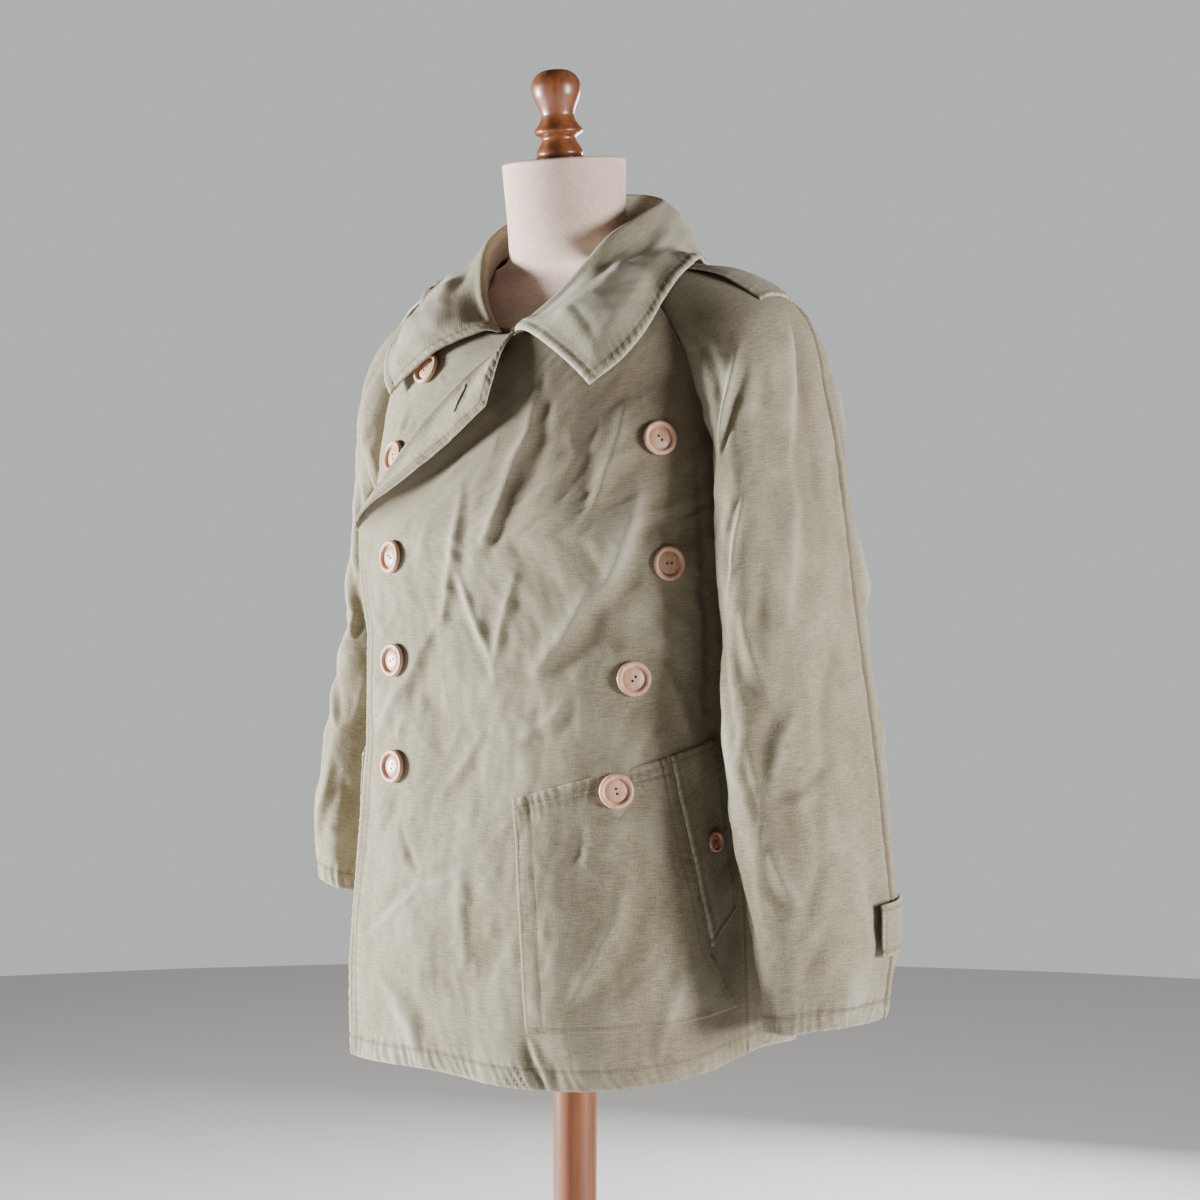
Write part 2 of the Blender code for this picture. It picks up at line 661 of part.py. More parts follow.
def make_pocket(name, corners, left, corner):
    grid = patch_grid(corners, CLOTH + PATCH_EASE, left, corner=corner)
    outs = surface_normals(grid)
    return wall(name, pull_in(grid, outs), outs, CLOTH, OLIVE)


def make_flap(name, corners, left):
    grid = patch_grid(corners, CLOTH + PATCH_EASE, left, columns=6)
    outs = surface_normals(grid)
    return wall(name, pull_in(grid, outs), outs, FOLDED, OLIVE)


def make_shoulder_strap(name, rows, side):
    """Flat strap along the top of the sleeve, from under the collar to the shoulder point."""
    grid = []
    for across in spread(-1, 1, 5):
        row = []
        for along in spread(0, 1, 9):
            station = mix(STRAP_START, STRAP_END, along)
            share = (STRAP_CENTRE + across * mix(STRAP_SHARE_START, STRAP_SHARE_END, along)) % 1.0
            normal = sleeve_normal(rows, side, share, station)
            lift = CLOTH + STRAP_EASE + STRAP_ARCH * math.sin(math.pi * along) ** 2
            row.append(sleeve_surface(rows, side, share, station) + normal * lift)
        grid.append(row)
    return wall(name, grid, surface_normals(grid, flip=side > 0), FOLDED, OLIVE_PALE)


def make_cuff_strap(name, rows, side):
    """Band round the back of the cuff that stands off in a loop at the over-arm seam."""
    grid = []
    last = float(len(rows))
    for station in spread(last - CUFF_STRAP_TOP, last - CUFF_STRAP_TOP + CUFF_STRAP_STATIONS, 3):
        row = []
        for along in spread(0, 1, 12):
            share = mix(CUFF_STRAP_START, CUFF_STRAP_END, along) % 1.0
            normal = sleeve_normal(rows, side, share, station)
            lift = CLOTH + STRAP_EASE + CUFF_LOOP * (1 - smooth(along * 2.2))
            row.append(sleeve_surface(rows, side, share, station) + normal * lift)
        grid.append(row)
    return wall(name, grid, surface_normals(grid, flip=side > 0), FOLDED, OLIVE_PALE)


def make_neck_tab():
    """End of the neckband that shows between the two collar leaves."""
    grid = []
    for height in (0.0, 0.012):
        row = []
        for angle in spread(-20, 18, 9):
            neck = body_point(angle, LEVEL_NECK)
            inward = Vector((neck.x, neck.y, 0.0)).normalized() * TAB_INSET
            rise = height * (0.75 + 0.25 * math.cos(math.radians(angle * 4)))
            row.append(neck - inward + Vector((0, 0, rise - 0.004)))
        grid.append(row)
    return wall("neck_tab", grid, surface_normals(grid, flip=True), CLOTH, OLIVE_PALE)


# ---------------------------------------------------------------- buttons
def button_profile(radius, height):
    rim = 0.16 * radius
    return [(0, 0.62 * height), (radius - 2.2 * rim, 0.55 * height), (radius - 1.4 * rim, height),
            (radius - 0.5 * rim, height), (radius, 0.62 * height), (radius - 0.4 * rim, 0.1 * height),
            (0.45 * radius, 0.0), (0, 0.0)]


def cloth_heights(tree, point, normal, radius, spokes=24):
    """Hits of rays down the normal on rings and the middle of a disc."""
    side = normal.orthogonal().normalized()
    starts = [point]
    for ring in (0.3 * radius, 0.6 * radius, 0.8 * radius, 0.95 * radius, 1.03 * radius):
        starts += [point + Matrix.Rotation(2 * math.pi * k / spokes, 3, normal) @ side * ring
                   for k in range(spokes)]
    hits = [tree.ray_cast(start + normal * 0.04, -normal, 0.08)[0] for start in starts]
    return [hit for hit in hits if hit is not None]


def fitted_normal(tree, point, normal, radius):
    side = normal.orthogonal().normalized()
    other = normal.cross(side)
    ends = []
    for direction in (side, other, -side, -other):
        start = point + direction * radius * 0.8 + normal * 0.04
        ends.append(tree.ray_cast(start, -normal, 0.08)[0] or point + direction * radius)
    return (ends[0] - ends[2]).cross(ends[1] - ends[3]).normalized()


def make_button(name, place, carriers, radius, height, steps, colour):
    """A turned button laid on its carrier, one gap clear of the highest facet under it."""
    level = level_at(place.angle, place.z)
    tree = tree_of([carriers[place.carrier]])
    point = front_point(place.angle, level, 0.0, place.carrier.startswith("left"))
    normal = fitted_normal(tree, point, body_normal(place.angle, level), radius)
    rise = max((hit - point).dot(normal) for hit in cloth_heights(tree, point, normal, radius))
    seat = point + normal * (rise + GAP)
    button = turned(name, button_profile(radius, height), steps, colour, 0.4, seat)
    button.rotation_euler = normal.to_track_quat("Z", "Y").to_euler()
    return button


# ---------------------------------------------------------------- form and stand
FORM_COLUMNS = 28
FORM_ROWS = 30


def make_form_body():
    mesh = bpy.data.meshes.new("form_body")
    build = bmesh.new()
    rings = []
    for k in range(FORM_ROWS + 1):
        place = (len(FORM) - 1) * k / FORM_ROWS
        z, half_width, front, back, middle = (
            spline_value(FORM, column, place) for column in FormRow._fields)
        ring = []
        for j in range(FORM_COLUMNS):
            turn = 2 * math.pi * j / FORM_COLUMNS
            depth = front if math.cos(turn) > 0 else back
            y = middle - depth * math.cos(turn)
            tilt = smooth((z - 1.45) / 0.05) * (y - NECK_TOP.y) * math.tan(NECK_TILT)
            ring.append(build.verts.new((half_width * math.sin(turn), y, z + tilt)))
        rings.append(ring)
    for low, high in zip(rings, rings[1:]):
        for j in range(FORM_COLUMNS):
            following = (j + 1) % FORM_COLUMNS
            build.faces.new((low[j], low[following], high[following], high[j]))
    build.faces.new(list(reversed(rings[0])))
    build.faces.new(rings[-1])
    bmesh.ops.recalc_face_normals(build, faces=build.faces)
    build.to_mesh(mesh)
    build.free()
    mesh.shade_smooth()
    mesh.set_sharp_from_angle(angle=math.radians(40))
    return add_object("form_body", mesh, LINEN, 0.85)


def turned(name, profile, steps, colour, roughness, place=Vector((0, 0, 0)), tilt=0.0):
    """A turned piece: the profile runs from the top on the axis, down outside, to the axis."""
    mesh = bpy.data.meshes.new(name)
    build = bmesh.new()
    points = [build.verts.new((radius, 0.0, z)) for radius, z in profile]
    for start, end in zip(points, points[1:]):
        build.edges.new((start, end))
    build.to_mesh(mesh)
    build.free()
    piece = add_object(name, mesh, colour, roughness)
    screw = piece.modifiers.new("turn", "SCREW")
    screw.axis = "Z"
    screw.angle = 2 * math.pi
    screw.steps = steps
    screw.render_steps = steps
    screw.use_merge_vertices = True
    screw.merge_threshold = 0.00001
    screw.use_smooth_shade = True
    piece.location = place
    piece.rotation_euler = (tilt, 0.0, 0.0)
    return piece


def make_stand():
    base = [(0, HUB_TOP), (0.026, HUB_TOP), (0.034, HUB_TOP - 0.008), (HUB_RADIUS, 0.060),
            (0.028, 0.052), (0.030, 0.042), (0.060, 0.034), (0.120, 0.030), (0.190, BASE_HEIGHT),
            (0.202, 0.021), (BASE_RADIUS, 0.013), (0.202, 0.004), (0.196, 0.0), (0, 0.0)]
    turned("stand_base", base, 40, VARNISHED_WOOD, 0.35)
    pole_top = FORM[0].z - GAP
    pole = [(0, pole_top), (POLE_RADIUS, pole_top), (POLE_RADIUS, HUB_TOP + GAP),
            (0, HUB_TOP + GAP)]
    turned("stand_pole", pole, 24, VARNISHED_WOOD, 0.35)
    bulb = [(0, 0.0825), (0.0080, 0.0821), (0.0145, 0.0799), (0.0195, 0.0755), (0.0222, 0.0698),
            (0.0224, 0.0645), (0.0214, 0.0585), (0.0192, 0.0530), (0.0168, 0.0475)]
    neck = [(0.0152, 0.0425), (0.0151, 0.0400), (0.0162, 0.0362), (0.0190, 0.0318)]
    ring = [(0.0216, 0.0285), (0.0222, 0.0265), (0.0212, 0.0245), (0.0172, 0.0222)]
    foot = [(0.0158, 0.0200), (0.0163, 0.0170), (0.0186, 0.0132), (0.0207, 0.0095),
            (0.0212, 0.0065), (0.0205, 0.0042), (0.0217, 0.0028), (0.0212, 0.0), (0, 0.0)]
    profile = bulb + neck + ring + foot
    offset = 0.006
    seat = NECK_TOP + Vector((0, -offset, -offset * math.tan(NECK_TILT) + 1.5 * GAP))
    turned("form_finial", profile, 24, VARNISHED_WOOD, 0.3, seat, NECK_TILT)


# ---------------------------------------------------------------- build
clear_scene()
JACKET = new_collection("military_jacket")
left_front, right_front, back = make_fronts_and_back()
sleeves = [
    make_sleeve_half("left_sleeve_front", LEFT_SLEEVE, 1, True),
    make_sleeve_half("left_sleeve_back", LEFT_SLEEVE, 1, False),
    make_sleeve_half("right_sleeve_front", RIGHT_SLEEVE, -1, True),
    make_sleeve_half("right_sleeve_back", RIGHT_SLEEVE, -1, False),
]
shoulder_straps = [
    make_shoulder_strap("left_shoulder_strap", LEFT_SLEEVE, 1),
    make_shoulder_strap("right_shoulder_strap", RIGHT_SLEEVE, -1),
]
make_cuff_strap("left_cuff_strap", LEFT_SLEEVE, 1)
make_cuff_strap("right_cuff_strap", RIGHT_SLEEVE, -1)
make_pocket("right_pocket", RIGHT_POCKET, False, RIGHT_POCKET_CORNER)
carriers = {
    "left_front": left_front,
    "right_front": right_front,
    "left_pocket": make_pocket("left_pocket", LEFT_POCKET, True, LEFT_POCKET_CORNER),
    "left_pocket_flap": make_flap("left_pocket_flap", LEFT_FLAP, True),
    "right_pocket_flap": make_flap("right_pocket_flap", RIGHT_FLAP, False),
}
front_buttons = [
    make_button(f"front_button_{number}", place, carriers, BUTTON_RADIUS, BUTTON_HEIGHT, 20,
                BUTTON_TAN)
    for number, place in enumerate(FRONT_BUTTONS, start=1)]
for name, place in zip(("left_flap_button", "right_flap_button"), FLAP_BUTTONS):
    make_button(name, place, carriers, SMALL_BUTTON_RADIUS, SMALL_BUTTON_HEIGHT, 14, BUTTON_RED)
make_collar([left_front, right_front, back] + sleeves + shoulder_straps)
make_neck_tab()
make_lapel()
make_form_body()
make_stand()
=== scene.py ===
"""Looks of a double-breasted canvas military jacket standing on a limbless dress form.

Metres, +Z up. The jacket faces -Y, so the wearer's left is +X, and the floor is at z = 0. Angles
round the body are in degrees from the centre front, positive towards the wearer's left. Levels
count the sections of the body from hem to neck, and stations count those of a sleeve from its
raglan seam to its cuff.
"""

import logging
import math
from dataclasses import dataclass, field
from enum import Enum
from functools import cached_property
from typing import Any, NamedTuple, Sequence

import bmesh
import bpy
import numpy as np
from mathutils import Matrix, Vector
from mathutils.bvhtree import BVHTree


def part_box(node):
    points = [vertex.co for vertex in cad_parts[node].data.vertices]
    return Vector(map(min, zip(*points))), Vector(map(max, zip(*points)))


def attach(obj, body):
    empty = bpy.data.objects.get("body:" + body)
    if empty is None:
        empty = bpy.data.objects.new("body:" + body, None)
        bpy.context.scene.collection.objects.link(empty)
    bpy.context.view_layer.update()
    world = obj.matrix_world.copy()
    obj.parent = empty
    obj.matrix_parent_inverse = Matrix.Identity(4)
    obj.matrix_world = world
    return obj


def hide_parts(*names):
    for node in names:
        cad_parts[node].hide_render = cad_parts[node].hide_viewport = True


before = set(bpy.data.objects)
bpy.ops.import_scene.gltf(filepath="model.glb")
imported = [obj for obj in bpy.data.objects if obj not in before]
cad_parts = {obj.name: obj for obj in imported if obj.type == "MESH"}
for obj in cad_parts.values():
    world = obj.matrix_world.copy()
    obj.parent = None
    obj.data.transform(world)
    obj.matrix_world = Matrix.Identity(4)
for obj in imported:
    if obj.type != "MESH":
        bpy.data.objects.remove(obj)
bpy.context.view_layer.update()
LOG = logging.getLogger("jacket")

Array = np.ndarray
Point = tuple[float, float]
Triple = tuple[float, float, float]
Material, Object, Mesh = bpy.types.Material, bpy.types.Object, bpy.types.Mesh
Socket, Tree = bpy.types.NodeSocket, bpy.types.NodeTree

# ---- sizes shared by several pieces
CLOTH = 0.0016               # one layer of canvas with its turnings
FOLDED = 0.0024              # two layers: collar, straps and flaps
LAP_EASE = 0.0016            # air between the two fronts
FLARE_SPAN = 20.0            # degrees over which the free front edge stands off
HEM_RISES = ((-8.0, 26.0, 0.0095), (100.0, 24.0, 0.011), (260.0, 24.0, 0.011))  # angle, span, height
PATCH_EASE = 0.0011          # air under pockets and flaps
STRAP_EASE = 0.0009          # air under the straps where they are sewn down
SEAM_HALF_GAP = 0.00025      # each side of a seam keeps this far from it
LEVEL_ARMPIT = 6.0
LEVEL_NECK = 10.0
BODY_RADIUS = 0.17           # metres from the body's middle to its seams
BODY_ARC = 0.0031            # metres of cloth for one degree round the body
SLEEVE_ROUND = 0.38          # metres of cloth round a sleeve
SLEEVE_STEP = 0.078          # metres of cloth from one station of a sleeve to the next
CREASE_WIDTH = 0.80          # how tight every main crease is drawn
CREASE_HEIGHT = 1.12         # and how high it stands


# ---- numbers and tables
def unit(vectors: Array) -> Array:
    """Vectors scaled to length one."""
    length = np.linalg.norm(vectors, axis=-1, keepdims=True)
    return vectors / np.maximum(length, 1e-12)


def smooth(share: Any) -> Array:
    """Smooth step from 0 at 0 to 1 at 1."""
    share = np.clip(share, 0.0, 1.0)
    return share * share * (3 - 2 * share)


def bell(distance: Array, width: float) -> Array:
    """Soft bump of height one at distance nought."""
    return np.exp(-(distance / width) ** 2)


def run_along(points: Array) -> Array:
    """Distance along the rows of points, from the first."""
    steps = np.linalg.norm(np.diff(points, axis=0), axis=-1)
    return np.concatenate([0 * steps[:1], np.cumsum(steps, 0)])


def spline_through(points: Array, places: Any) -> Array:
    """Catmull-Rom line through the rows of points, at fractional row numbers."""
    places = np.asarray(places, float)
    last = len(points) - 1
    index = np.clip(places.astype(int), 0, last - 1)
    t = (places - index).reshape(places.shape + (1,) * (points.ndim - 1))
    before, start, end, after = (points[np.clip(index + k, 0, last)] for k in (-1, 0, 1, 2))
    return 0.5 * (2 * start + (end - before) * t + (2 * before - 5 * start + 4 * end - after) * t ** 2
                  + (3 * start - before - 3 * end + after) * t ** 3)


class Table:
    """Rows of named sizes, with smooth or straight values between the rows."""

    def __init__(self, names: str, *rows: Sequence[float]) -> None:
        """Keep the rows as one column for each name."""
        self.columns = dict(zip(names.split(), np.array(rows, float).T))
        self.last = len(rows) - 1

    def smooth(self, name: str, place: Any) -> Array:
        """Catmull-Rom value of a column at fractional row numbers."""
        return spline_through(self.columns[name], place)

    def straight(self, name: str, place: Any) -> Array:
        """Linear value of a column at fractional row numbers."""
        return np.interp(place, np.arange(self.last + 1), self.columns[name])

    def row(self, places: Array) -> dict[str, Array]:
        """Smooth values of every column at fractional row numbers."""
        return {name: self.smooth(name, places) for name in self.columns}


BODY = Table(
    "z_front z_side z_back half_width front back power left_edge right_edge front_seam back_seam"
    " flare",
    (0.692, 0.706, 0.706, 0.190, 0.170, 0.165, 2.90, -41, 40, 90, 90, 0.006),
    (0.780, 0.787, 0.787, 0.187, 0.167, 0.160, 2.90, -46, 40, 90, 90, 0.006),
    (0.880, 0.883, 0.883, 0.184, 0.162, 0.155, 2.90, -44, 40, 90, 90, 0.005),
    (0.980, 0.980, 0.980, 0.181, 0.157, 0.148, 2.90, -41, 40, 90, 90, 0.005),
    (1.080, 1.080, 1.080, 0.180, 0.153, 0.145, 2.85, -43, 40, 90, 90, 0.006),
    (1.165, 1.165, 1.165, 0.181, 0.149, 0.144, 2.80, -57, 40, 90, 90, 0.010),
    (1.207, 1.203, 1.205, 0.182, 0.145, 0.143, 2.70, -38, 38, 90, 90, 0.013),
    (1.258, 1.262, 1.275, 0.180, 0.138, 0.139, 2.60, -21, 34, 80, 102, 0.012),
    (1.298, 1.325, 1.340, 0.168, 0.128, 0.126, 2.45, -6.5, 27, 74, 109, 0.008),
    (1.325, 1.383, 1.395, 0.133, 0.116, 0.102, 2.25, 6, 21, 69, 115, 0.002),
    (1.345, 1.428, 1.438, 0.078, 0.100, 0.062, 2.00, 12, 17, 60, 122, 0.000))


class BodyShape:
    """The surface on which the fronts and the back are cut."""

    @classmethod
    def point(cls, angle: Any, level: Any) -> Array:
        """Inner face of the body cloth.

        Args:
            angle: degrees round the body.
            level: fractional levels.

        Returns:
            Points, one for each angle and level.
        """
        angle, level = np.broadcast_arrays(np.asarray(angle, float), np.asarray(level, float))
        turn = np.radians(angle)
        side, front = np.sin(turn), np.cos(turn)
        half_width = BODY.smooth("half_width", level)
        depth = np.where(front > 0, BODY.smooth("front", level), BODY.smooth("back", level))
        power = BODY.smooth("power", level)
        radius = (np.abs(side / half_width) ** power + np.abs(front / depth) ** power) ** (-1 / power)
        z_side = BODY.smooth("z_side", level)
        z_end = np.where(front > 0, BODY.smooth("z_front", level), BODY.smooth("z_back", level))
        z = z_side + (z_end - z_side) * front ** 2 + cls.hem_rise(angle) * np.maximum(0.0, 1 - level)
        return np.stack([radius * side, -radius * front, z], -1)

    @staticmethod
    def hem_rise(angle: Array) -> Array:
        """How far the hem hangs above its level: near the free edge and at both sides."""
        return sum(height * bell((angle - middle + 180) % 360 - 180, span)
                   for middle, span, height in HEM_RISES)

    @classmethod
    def normal(cls, angle: Any, level: Any) -> Array:
        """Outward normals at angles and levels."""
        angle, level = np.asarray(angle, float), np.asarray(level, float)
        low, high = np.maximum(0.0, level - 0.02), np.minimum(LEVEL_NECK, level + 0.02)
        along = cls.point(angle + 0.5, level) - cls.point(angle - 0.5, level)
        return unit(np.cross(along, cls.point(angle, high) - cls.point(angle, low)))

    @classmethod
    def level_at(cls, angle: Any, z: Any) -> Array:
        """Levels at which the surface stands at the heights z."""
        angle, z = np.broadcast_arrays(np.asarray(angle, float), np.asarray(z, float))
        low, high = np.zeros(angle.shape), np.full(angle.shape, LEVEL_NECK)
        for _ in range(24):
            middle = (low + high) / 2
            below = cls.point(angle, middle)[..., 2] < z
            low, high = np.where(below, middle, low), np.where(below, high, middle)
        return low

    @staticmethod
    def seam_angle(column: str, level: Any) -> Array:
        """Side seam below the armpit, raglan seam above it."""
        return np.where(np.asarray(level) <= LEVEL_ARMPIT, 90.0, BODY.smooth(column, level))

    @classmethod
    def left_lift(cls, angle: Any, level: Any) -> Array:
        """How far the outer front stands off the body: over the lap, and at its free edge."""
        seam = cls.seam_angle("front_seam", level)
        fade = smooth((seam - 2 - angle) / (seam - 2 - 42))
        edge = BODY.straight("left_edge", level)
        free = np.clip(1 - (angle - edge) / FLARE_SPAN, 0, 1)
        return fade * (CLOTH + LAP_EASE) + BODY.straight("flare", level) * free ** 2


class Sleeve:
    """The tube of one raglan sleeve: shares go round it, stations go down it."""

    SEAM_SHARE = 0.06            # share of the round taken by the neck edge, each side
    OVERARM_SHIFT = 0.066        # share by which the over-arm seam runs behind the shoulder line
    OVERARM_STATIONS = 1.6       # stations over which it gets there

    def __init__(self, side: int, *rings: Sequence[float]) -> None:
        """Keep the rings, each as under_x, under_z, over_x, over_z, middle_y, depth."""
        self.side = side
        self.rings = rings

    @classmethod
    def raglan_place(cls, share: Array) -> tuple[Array, Array]:
        """Angle and level of the sleeve's seam: share 0 at the shoulder, 0.5 at the armpit."""
        part = np.where(share <= 0.5, share, 1 - share)
        down = (part - cls.SEAM_SHARE) / (0.5 - cls.SEAM_SHARE)
        level = np.clip(LEVEL_NECK + (LEVEL_ARMPIT - LEVEL_NECK) * down, LEVEL_ARMPIT, LEVEL_NECK)
        seam = np.where(share <= 0.5, BodyShape.seam_angle("front_seam", level),
                        BodyShape.seam_angle("back_seam", level))
        angle = np.where(part <= cls.SEAM_SHARE, 90 + (seam - 90) * part / cls.SEAM_SHARE, seam)
        return angle, level

    def lines(self, share: Array) -> tuple[Array, Array, Array]:
        """Points, tangents and spans of the lengthwise lines at the shares."""
        angle, level = self.raglan_place(share)
        normal = BodyShape.normal(self.side * angle, level)
        swing, sweep = np.cos(2 * np.pi * share), np.sin(2 * np.pi * share)
        points = np.stack([BodyShape.point(self.side * angle, level)] + [np.stack([
            self.side * ((under_x + over_x) / 2 + (over_x - under_x) / 2 * swing),
            middle_y - depth * sweep,
            (under_z + over_z) / 2 + (over_z - under_z) / 2 * swing], -1)
            for under_x, under_z, over_x, over_z, middle_y, depth in self.rings])
        spans = np.linalg.norm(np.diff(points, axis=0), axis=-1)
        chord = unit(points[1] - points[0])
        lean = smooth((np.minimum(share, 1 - share) - 0.28) / 0.18)
        pull = (chord * normal).sum(-1) * (1 - lean) - 0.5 * lean
        first = unit(chord - normal * pull[:, None])
        between = (points[2:] - points[:-2]) / (spans[1:] + spans[:-1])[..., None]
        last = (points[-1] - points[-2]) / spans[-1][:, None]
        return points, np.concatenate([first[None], between, last[None]]), spans

    def point(self, share: Any, station: Any) -> Array:
        """Inner face of the sleeve at shares and stations."""
        share, station = np.broadcast_arrays(np.asarray(share, float), np.asarray(station, float))
        shape = share.shape
        share, station = share.ravel() % 1.0, station.ravel()
        points, tangents, spans = self.lines(share)
        index = np.clip(station.astype(int), 0, len(spans) - 1)
        each = np.arange(len(share))
        t = (station - index)[:, None]
        span = spans[index, each][:, None]
        place = (points[index, each] * (2 * t ** 3 - 3 * t ** 2 + 1)
                 + tangents[index, each] * span * (t ** 3 - 2 * t ** 2 + t)
                 + points[index + 1, each] * (3 * t ** 2 - 2 * t ** 3)
                 + tangents[index + 1, each] * span * (t ** 3 - t ** 2))
        return place.reshape(shape + (3,))

    def normal(self, share: Any, station: Any) -> Array:
        """Outward normals of the tube, and at station 0 those it shares with the body."""
        share, station = np.broadcast_arrays(np.asarray(share, float), np.asarray(station, float))
        seat = np.maximum(station, 0.15)
        last = float(len(self.rings))
        round_arm = self.point(share + 0.01, seat) - self.point(share - 0.01, seat)
        along = (self.point(share, np.minimum(last, seat + 0.05))
                 - self.point(share, np.maximum(0.0, seat - 0.05)))
        own = unit(np.cross(round_arm, along)) * self.side
        near = (1 - smooth(station / 0.12))[..., None]
        return unit(own * (1 - near) + self.seam_normal(share) * near)

    def seam_normal(self, share: Any) -> Array:
        """Normal on the raglan seam, between the body's and the sleeve's own."""
        share = np.asarray(share, float) % 1.0
        angle, level = self.raglan_place(share)
        body = BodyShape.normal(self.side * angle, level)
        low, high = self.point(share, 0.10), self.point(share, 0.20)
        own = unit(np.cross(self.point(share + 0.01, 0.15) - self.point(share - 0.01, 0.15),
                            high - low)) * self.side
        droop = np.zeros(body.shape)
        droop[..., 2] = -0.4 * np.maximum(0.0, 0.5 - (body * own).sum(-1))
        return unit(body + own + droop)

    @classmethod
    def seam_shift(cls, share: Array, station: Array) -> Array:
        """Share of a line cut at that share: the over-arm seam leans to the back."""
        lean = cls.OVERARM_SHIFT * smooth(station / cls.OVERARM_STATIONS)
        return share - lean * np.cos(np.pi * share) ** 2


LEFT_SLEEVE = Sleeve(
    1,
    (0.1905, 1.194, 0.216, 1.372, 0.012, 0.080), (0.1935, 1.176, 0.247, 1.292, 0.006, 0.086),
    (0.1975, 1.140, 0.270, 1.190, 0.000, 0.088), (0.2000, 1.060, 0.285, 1.090, -0.003, 0.091),
    (0.2050, 0.975, 0.300, 0.990, -0.003, 0.096), (0.2120, 0.905, 0.309, 0.910, 0.000, 0.094),
    (0.2200, 0.830, 0.314, 0.830, 0.007, 0.088), (0.2280, 0.742, 0.310, 0.755, 0.006, 0.066))
RIGHT_SLEEVE = Sleeve(
    -1,
    (0.1905, 1.194, 0.210, 1.366, 0.015, 0.080), (0.1935, 1.176, 0.238, 1.290, 0.034, 0.086),
    (0.1975, 1.140, 0.262, 1.190, 0.048, 0.088), (0.2000, 1.075, 0.277, 1.100, 0.053, 0.091),
    (0.2040, 1.010, 0.290, 1.030, 0.050, 0.096), (0.2100, 0.950, 0.300, 0.965, 0.044, 0.095),
    (0.2170, 0.890, 0.306, 0.900, 0.030, 0.088), (0.2240, 0.822, 0.302, 0.845, 0.020, 0.070))


# ---- folds and crumples
class Crumple:
    """Seeded gradient noise over flat cloth."""

    SIZE = 64

    def __init__(self, seed: int) -> None:
        """Draw the slopes of the lattice."""
        self.turns = np.random.default_rng(seed).uniform(0, 2 * np.pi, (self.SIZE, self.SIZE))

    def __call__(self, across: Array, up: Array) -> Array:
        """Noise between about -0.7 and 0.7 at lattice places."""
        across, up = np.broadcast_arrays(across, up)
        column, row = np.floor(across).astype(int), np.floor(up).astype(int)
        x, y = across - column, up - row

        def corner(right: int, high: int) -> Array:
            """Slope of one lattice corner times the way to it."""
            turn = self.turns[(column + right) % self.SIZE, (row + high) % self.SIZE]
            return np.cos(turn) * (x - right) + np.sin(turn) * (y - high)

        blend_x, blend_y = smooth(x), smooth(y)
        low = corner(0, 0) + (corner(1, 0) - corner(0, 0)) * blend_x
        high = corner(0, 1) + (corner(1, 1) - corner(0, 1)) * blend_x
        return low + (high - low) * blend_y


WOBBLE = Crumple(5)


class Fold(NamedTuple):
    """A soft ridge or trough between two places of the flat cloth, in metres."""

    start: Point
    end: Point
    bow: float               # how far its middle bends to its left
    width: float             # half-width of the crest
    height: float            # above the cloth, or below it where negative
    lee: float = 0.0         # depth beside it as a share of its height, on its left, or right if negative


def fold_relief(folds: Sequence[Fold], across: Array, up: Array) -> Array:
    """Height that folds give the cloth.

    Args:
        folds: the folds.
        across: flat places across the cloth.
        up: flat places up the cloth.

    Returns:
        Heights in metres.
    """
    relief = np.zeros(across.shape)
    for number, fold in enumerate(folds):
        way = np.subtract(fold.end, fold.start)
        length = float(np.hypot(*way))
        way = way / length
        right, high = across - fold.start[0], up - fold.start[1]
        along = (right * way[0] + high * way[1]) / length
        aside = high * way[0] - right * way[1]
        margin = 4 * fold.width + abs(fold.bow)
        near = (along > 0) & (along < 1) & (np.abs(aside) < margin)
        along, aside = along[near], aside[near]
        sway = WOBBLE(along * length / (5 * fold.width) + 7.3 * number, np.array(0.5))
        aside = aside - fold.bow * 4 * along * (1 - along) - 0.5 * fold.width * sway
        envelope = np.sin(np.pi * along) ** 0.8
        width = fold.width * (0.5 + 0.5 * envelope)
        crest = np.exp(-np.abs(aside / width) ** 1.7)
        beside = bell(aside - math.copysign(2.1, fold.lee) * width, 1.3 * width)
        relief[near] += fold.height * envelope * (crest - abs(fold.lee) * beside)
    return relief


def small_folds(seed: int, count: int, low: Point, high: Point, lean: float, height: float,
                length: Point = (0.02, 0.07)) -> list[Fold]:
    """Minor creases strewn over a piece.

    Args:
        seed: of the random draw.
        count: how many.
        low: lowest flat place.
        high: highest flat place.
        lean: degrees of their common direction from upright, towards across.
        height: of the strongest.
        length: shortest and longest.

    Returns:
        The folds.
    """
    random = np.random.default_rng(seed)
    folds = []
    for _ in range(count):
        start = random.uniform(low, high)
        turn = math.radians(90 - lean + random.normal(0, 32))
        reach = random.uniform(*length)
        end = start + reach * np.array([math.cos(turn), math.sin(turn)])
        folds.append(Fold(tuple(start), tuple(end), random.uniform(-0.12, 0.12) * reach,
                          random.uniform(0.0025, 0.006) + 0.03 * reach,
                          height * random.uniform(0.3, 1.0) * random.choice((1, -1)),
                          random.uniform(-0.5, 0.5)))
    return folds


# ---- cloth
class Edge(Enum):
    """The four sides of a piece's grid."""

    FIRST = "first column"
    LAST = "last column"
    BOTTOM = "bottom row"
    TOP = "top row"


UPRIGHT = (Edge.FIRST, Edge.LAST)        # the edges that run up the cloth
MERGE = 0.00002                          # points closer than this are one
STITCH_GROOVE = 0.00045                  # depth to which thread draws the cloth in
STITCH_WIDTH = 0.0016                    # half-width of that groove
PUCKER_REACH = 0.014                     # how far puckers run beyond the last stitch row
WORN_REACH = 0.0027                      # how far in an edge is rubbed pale


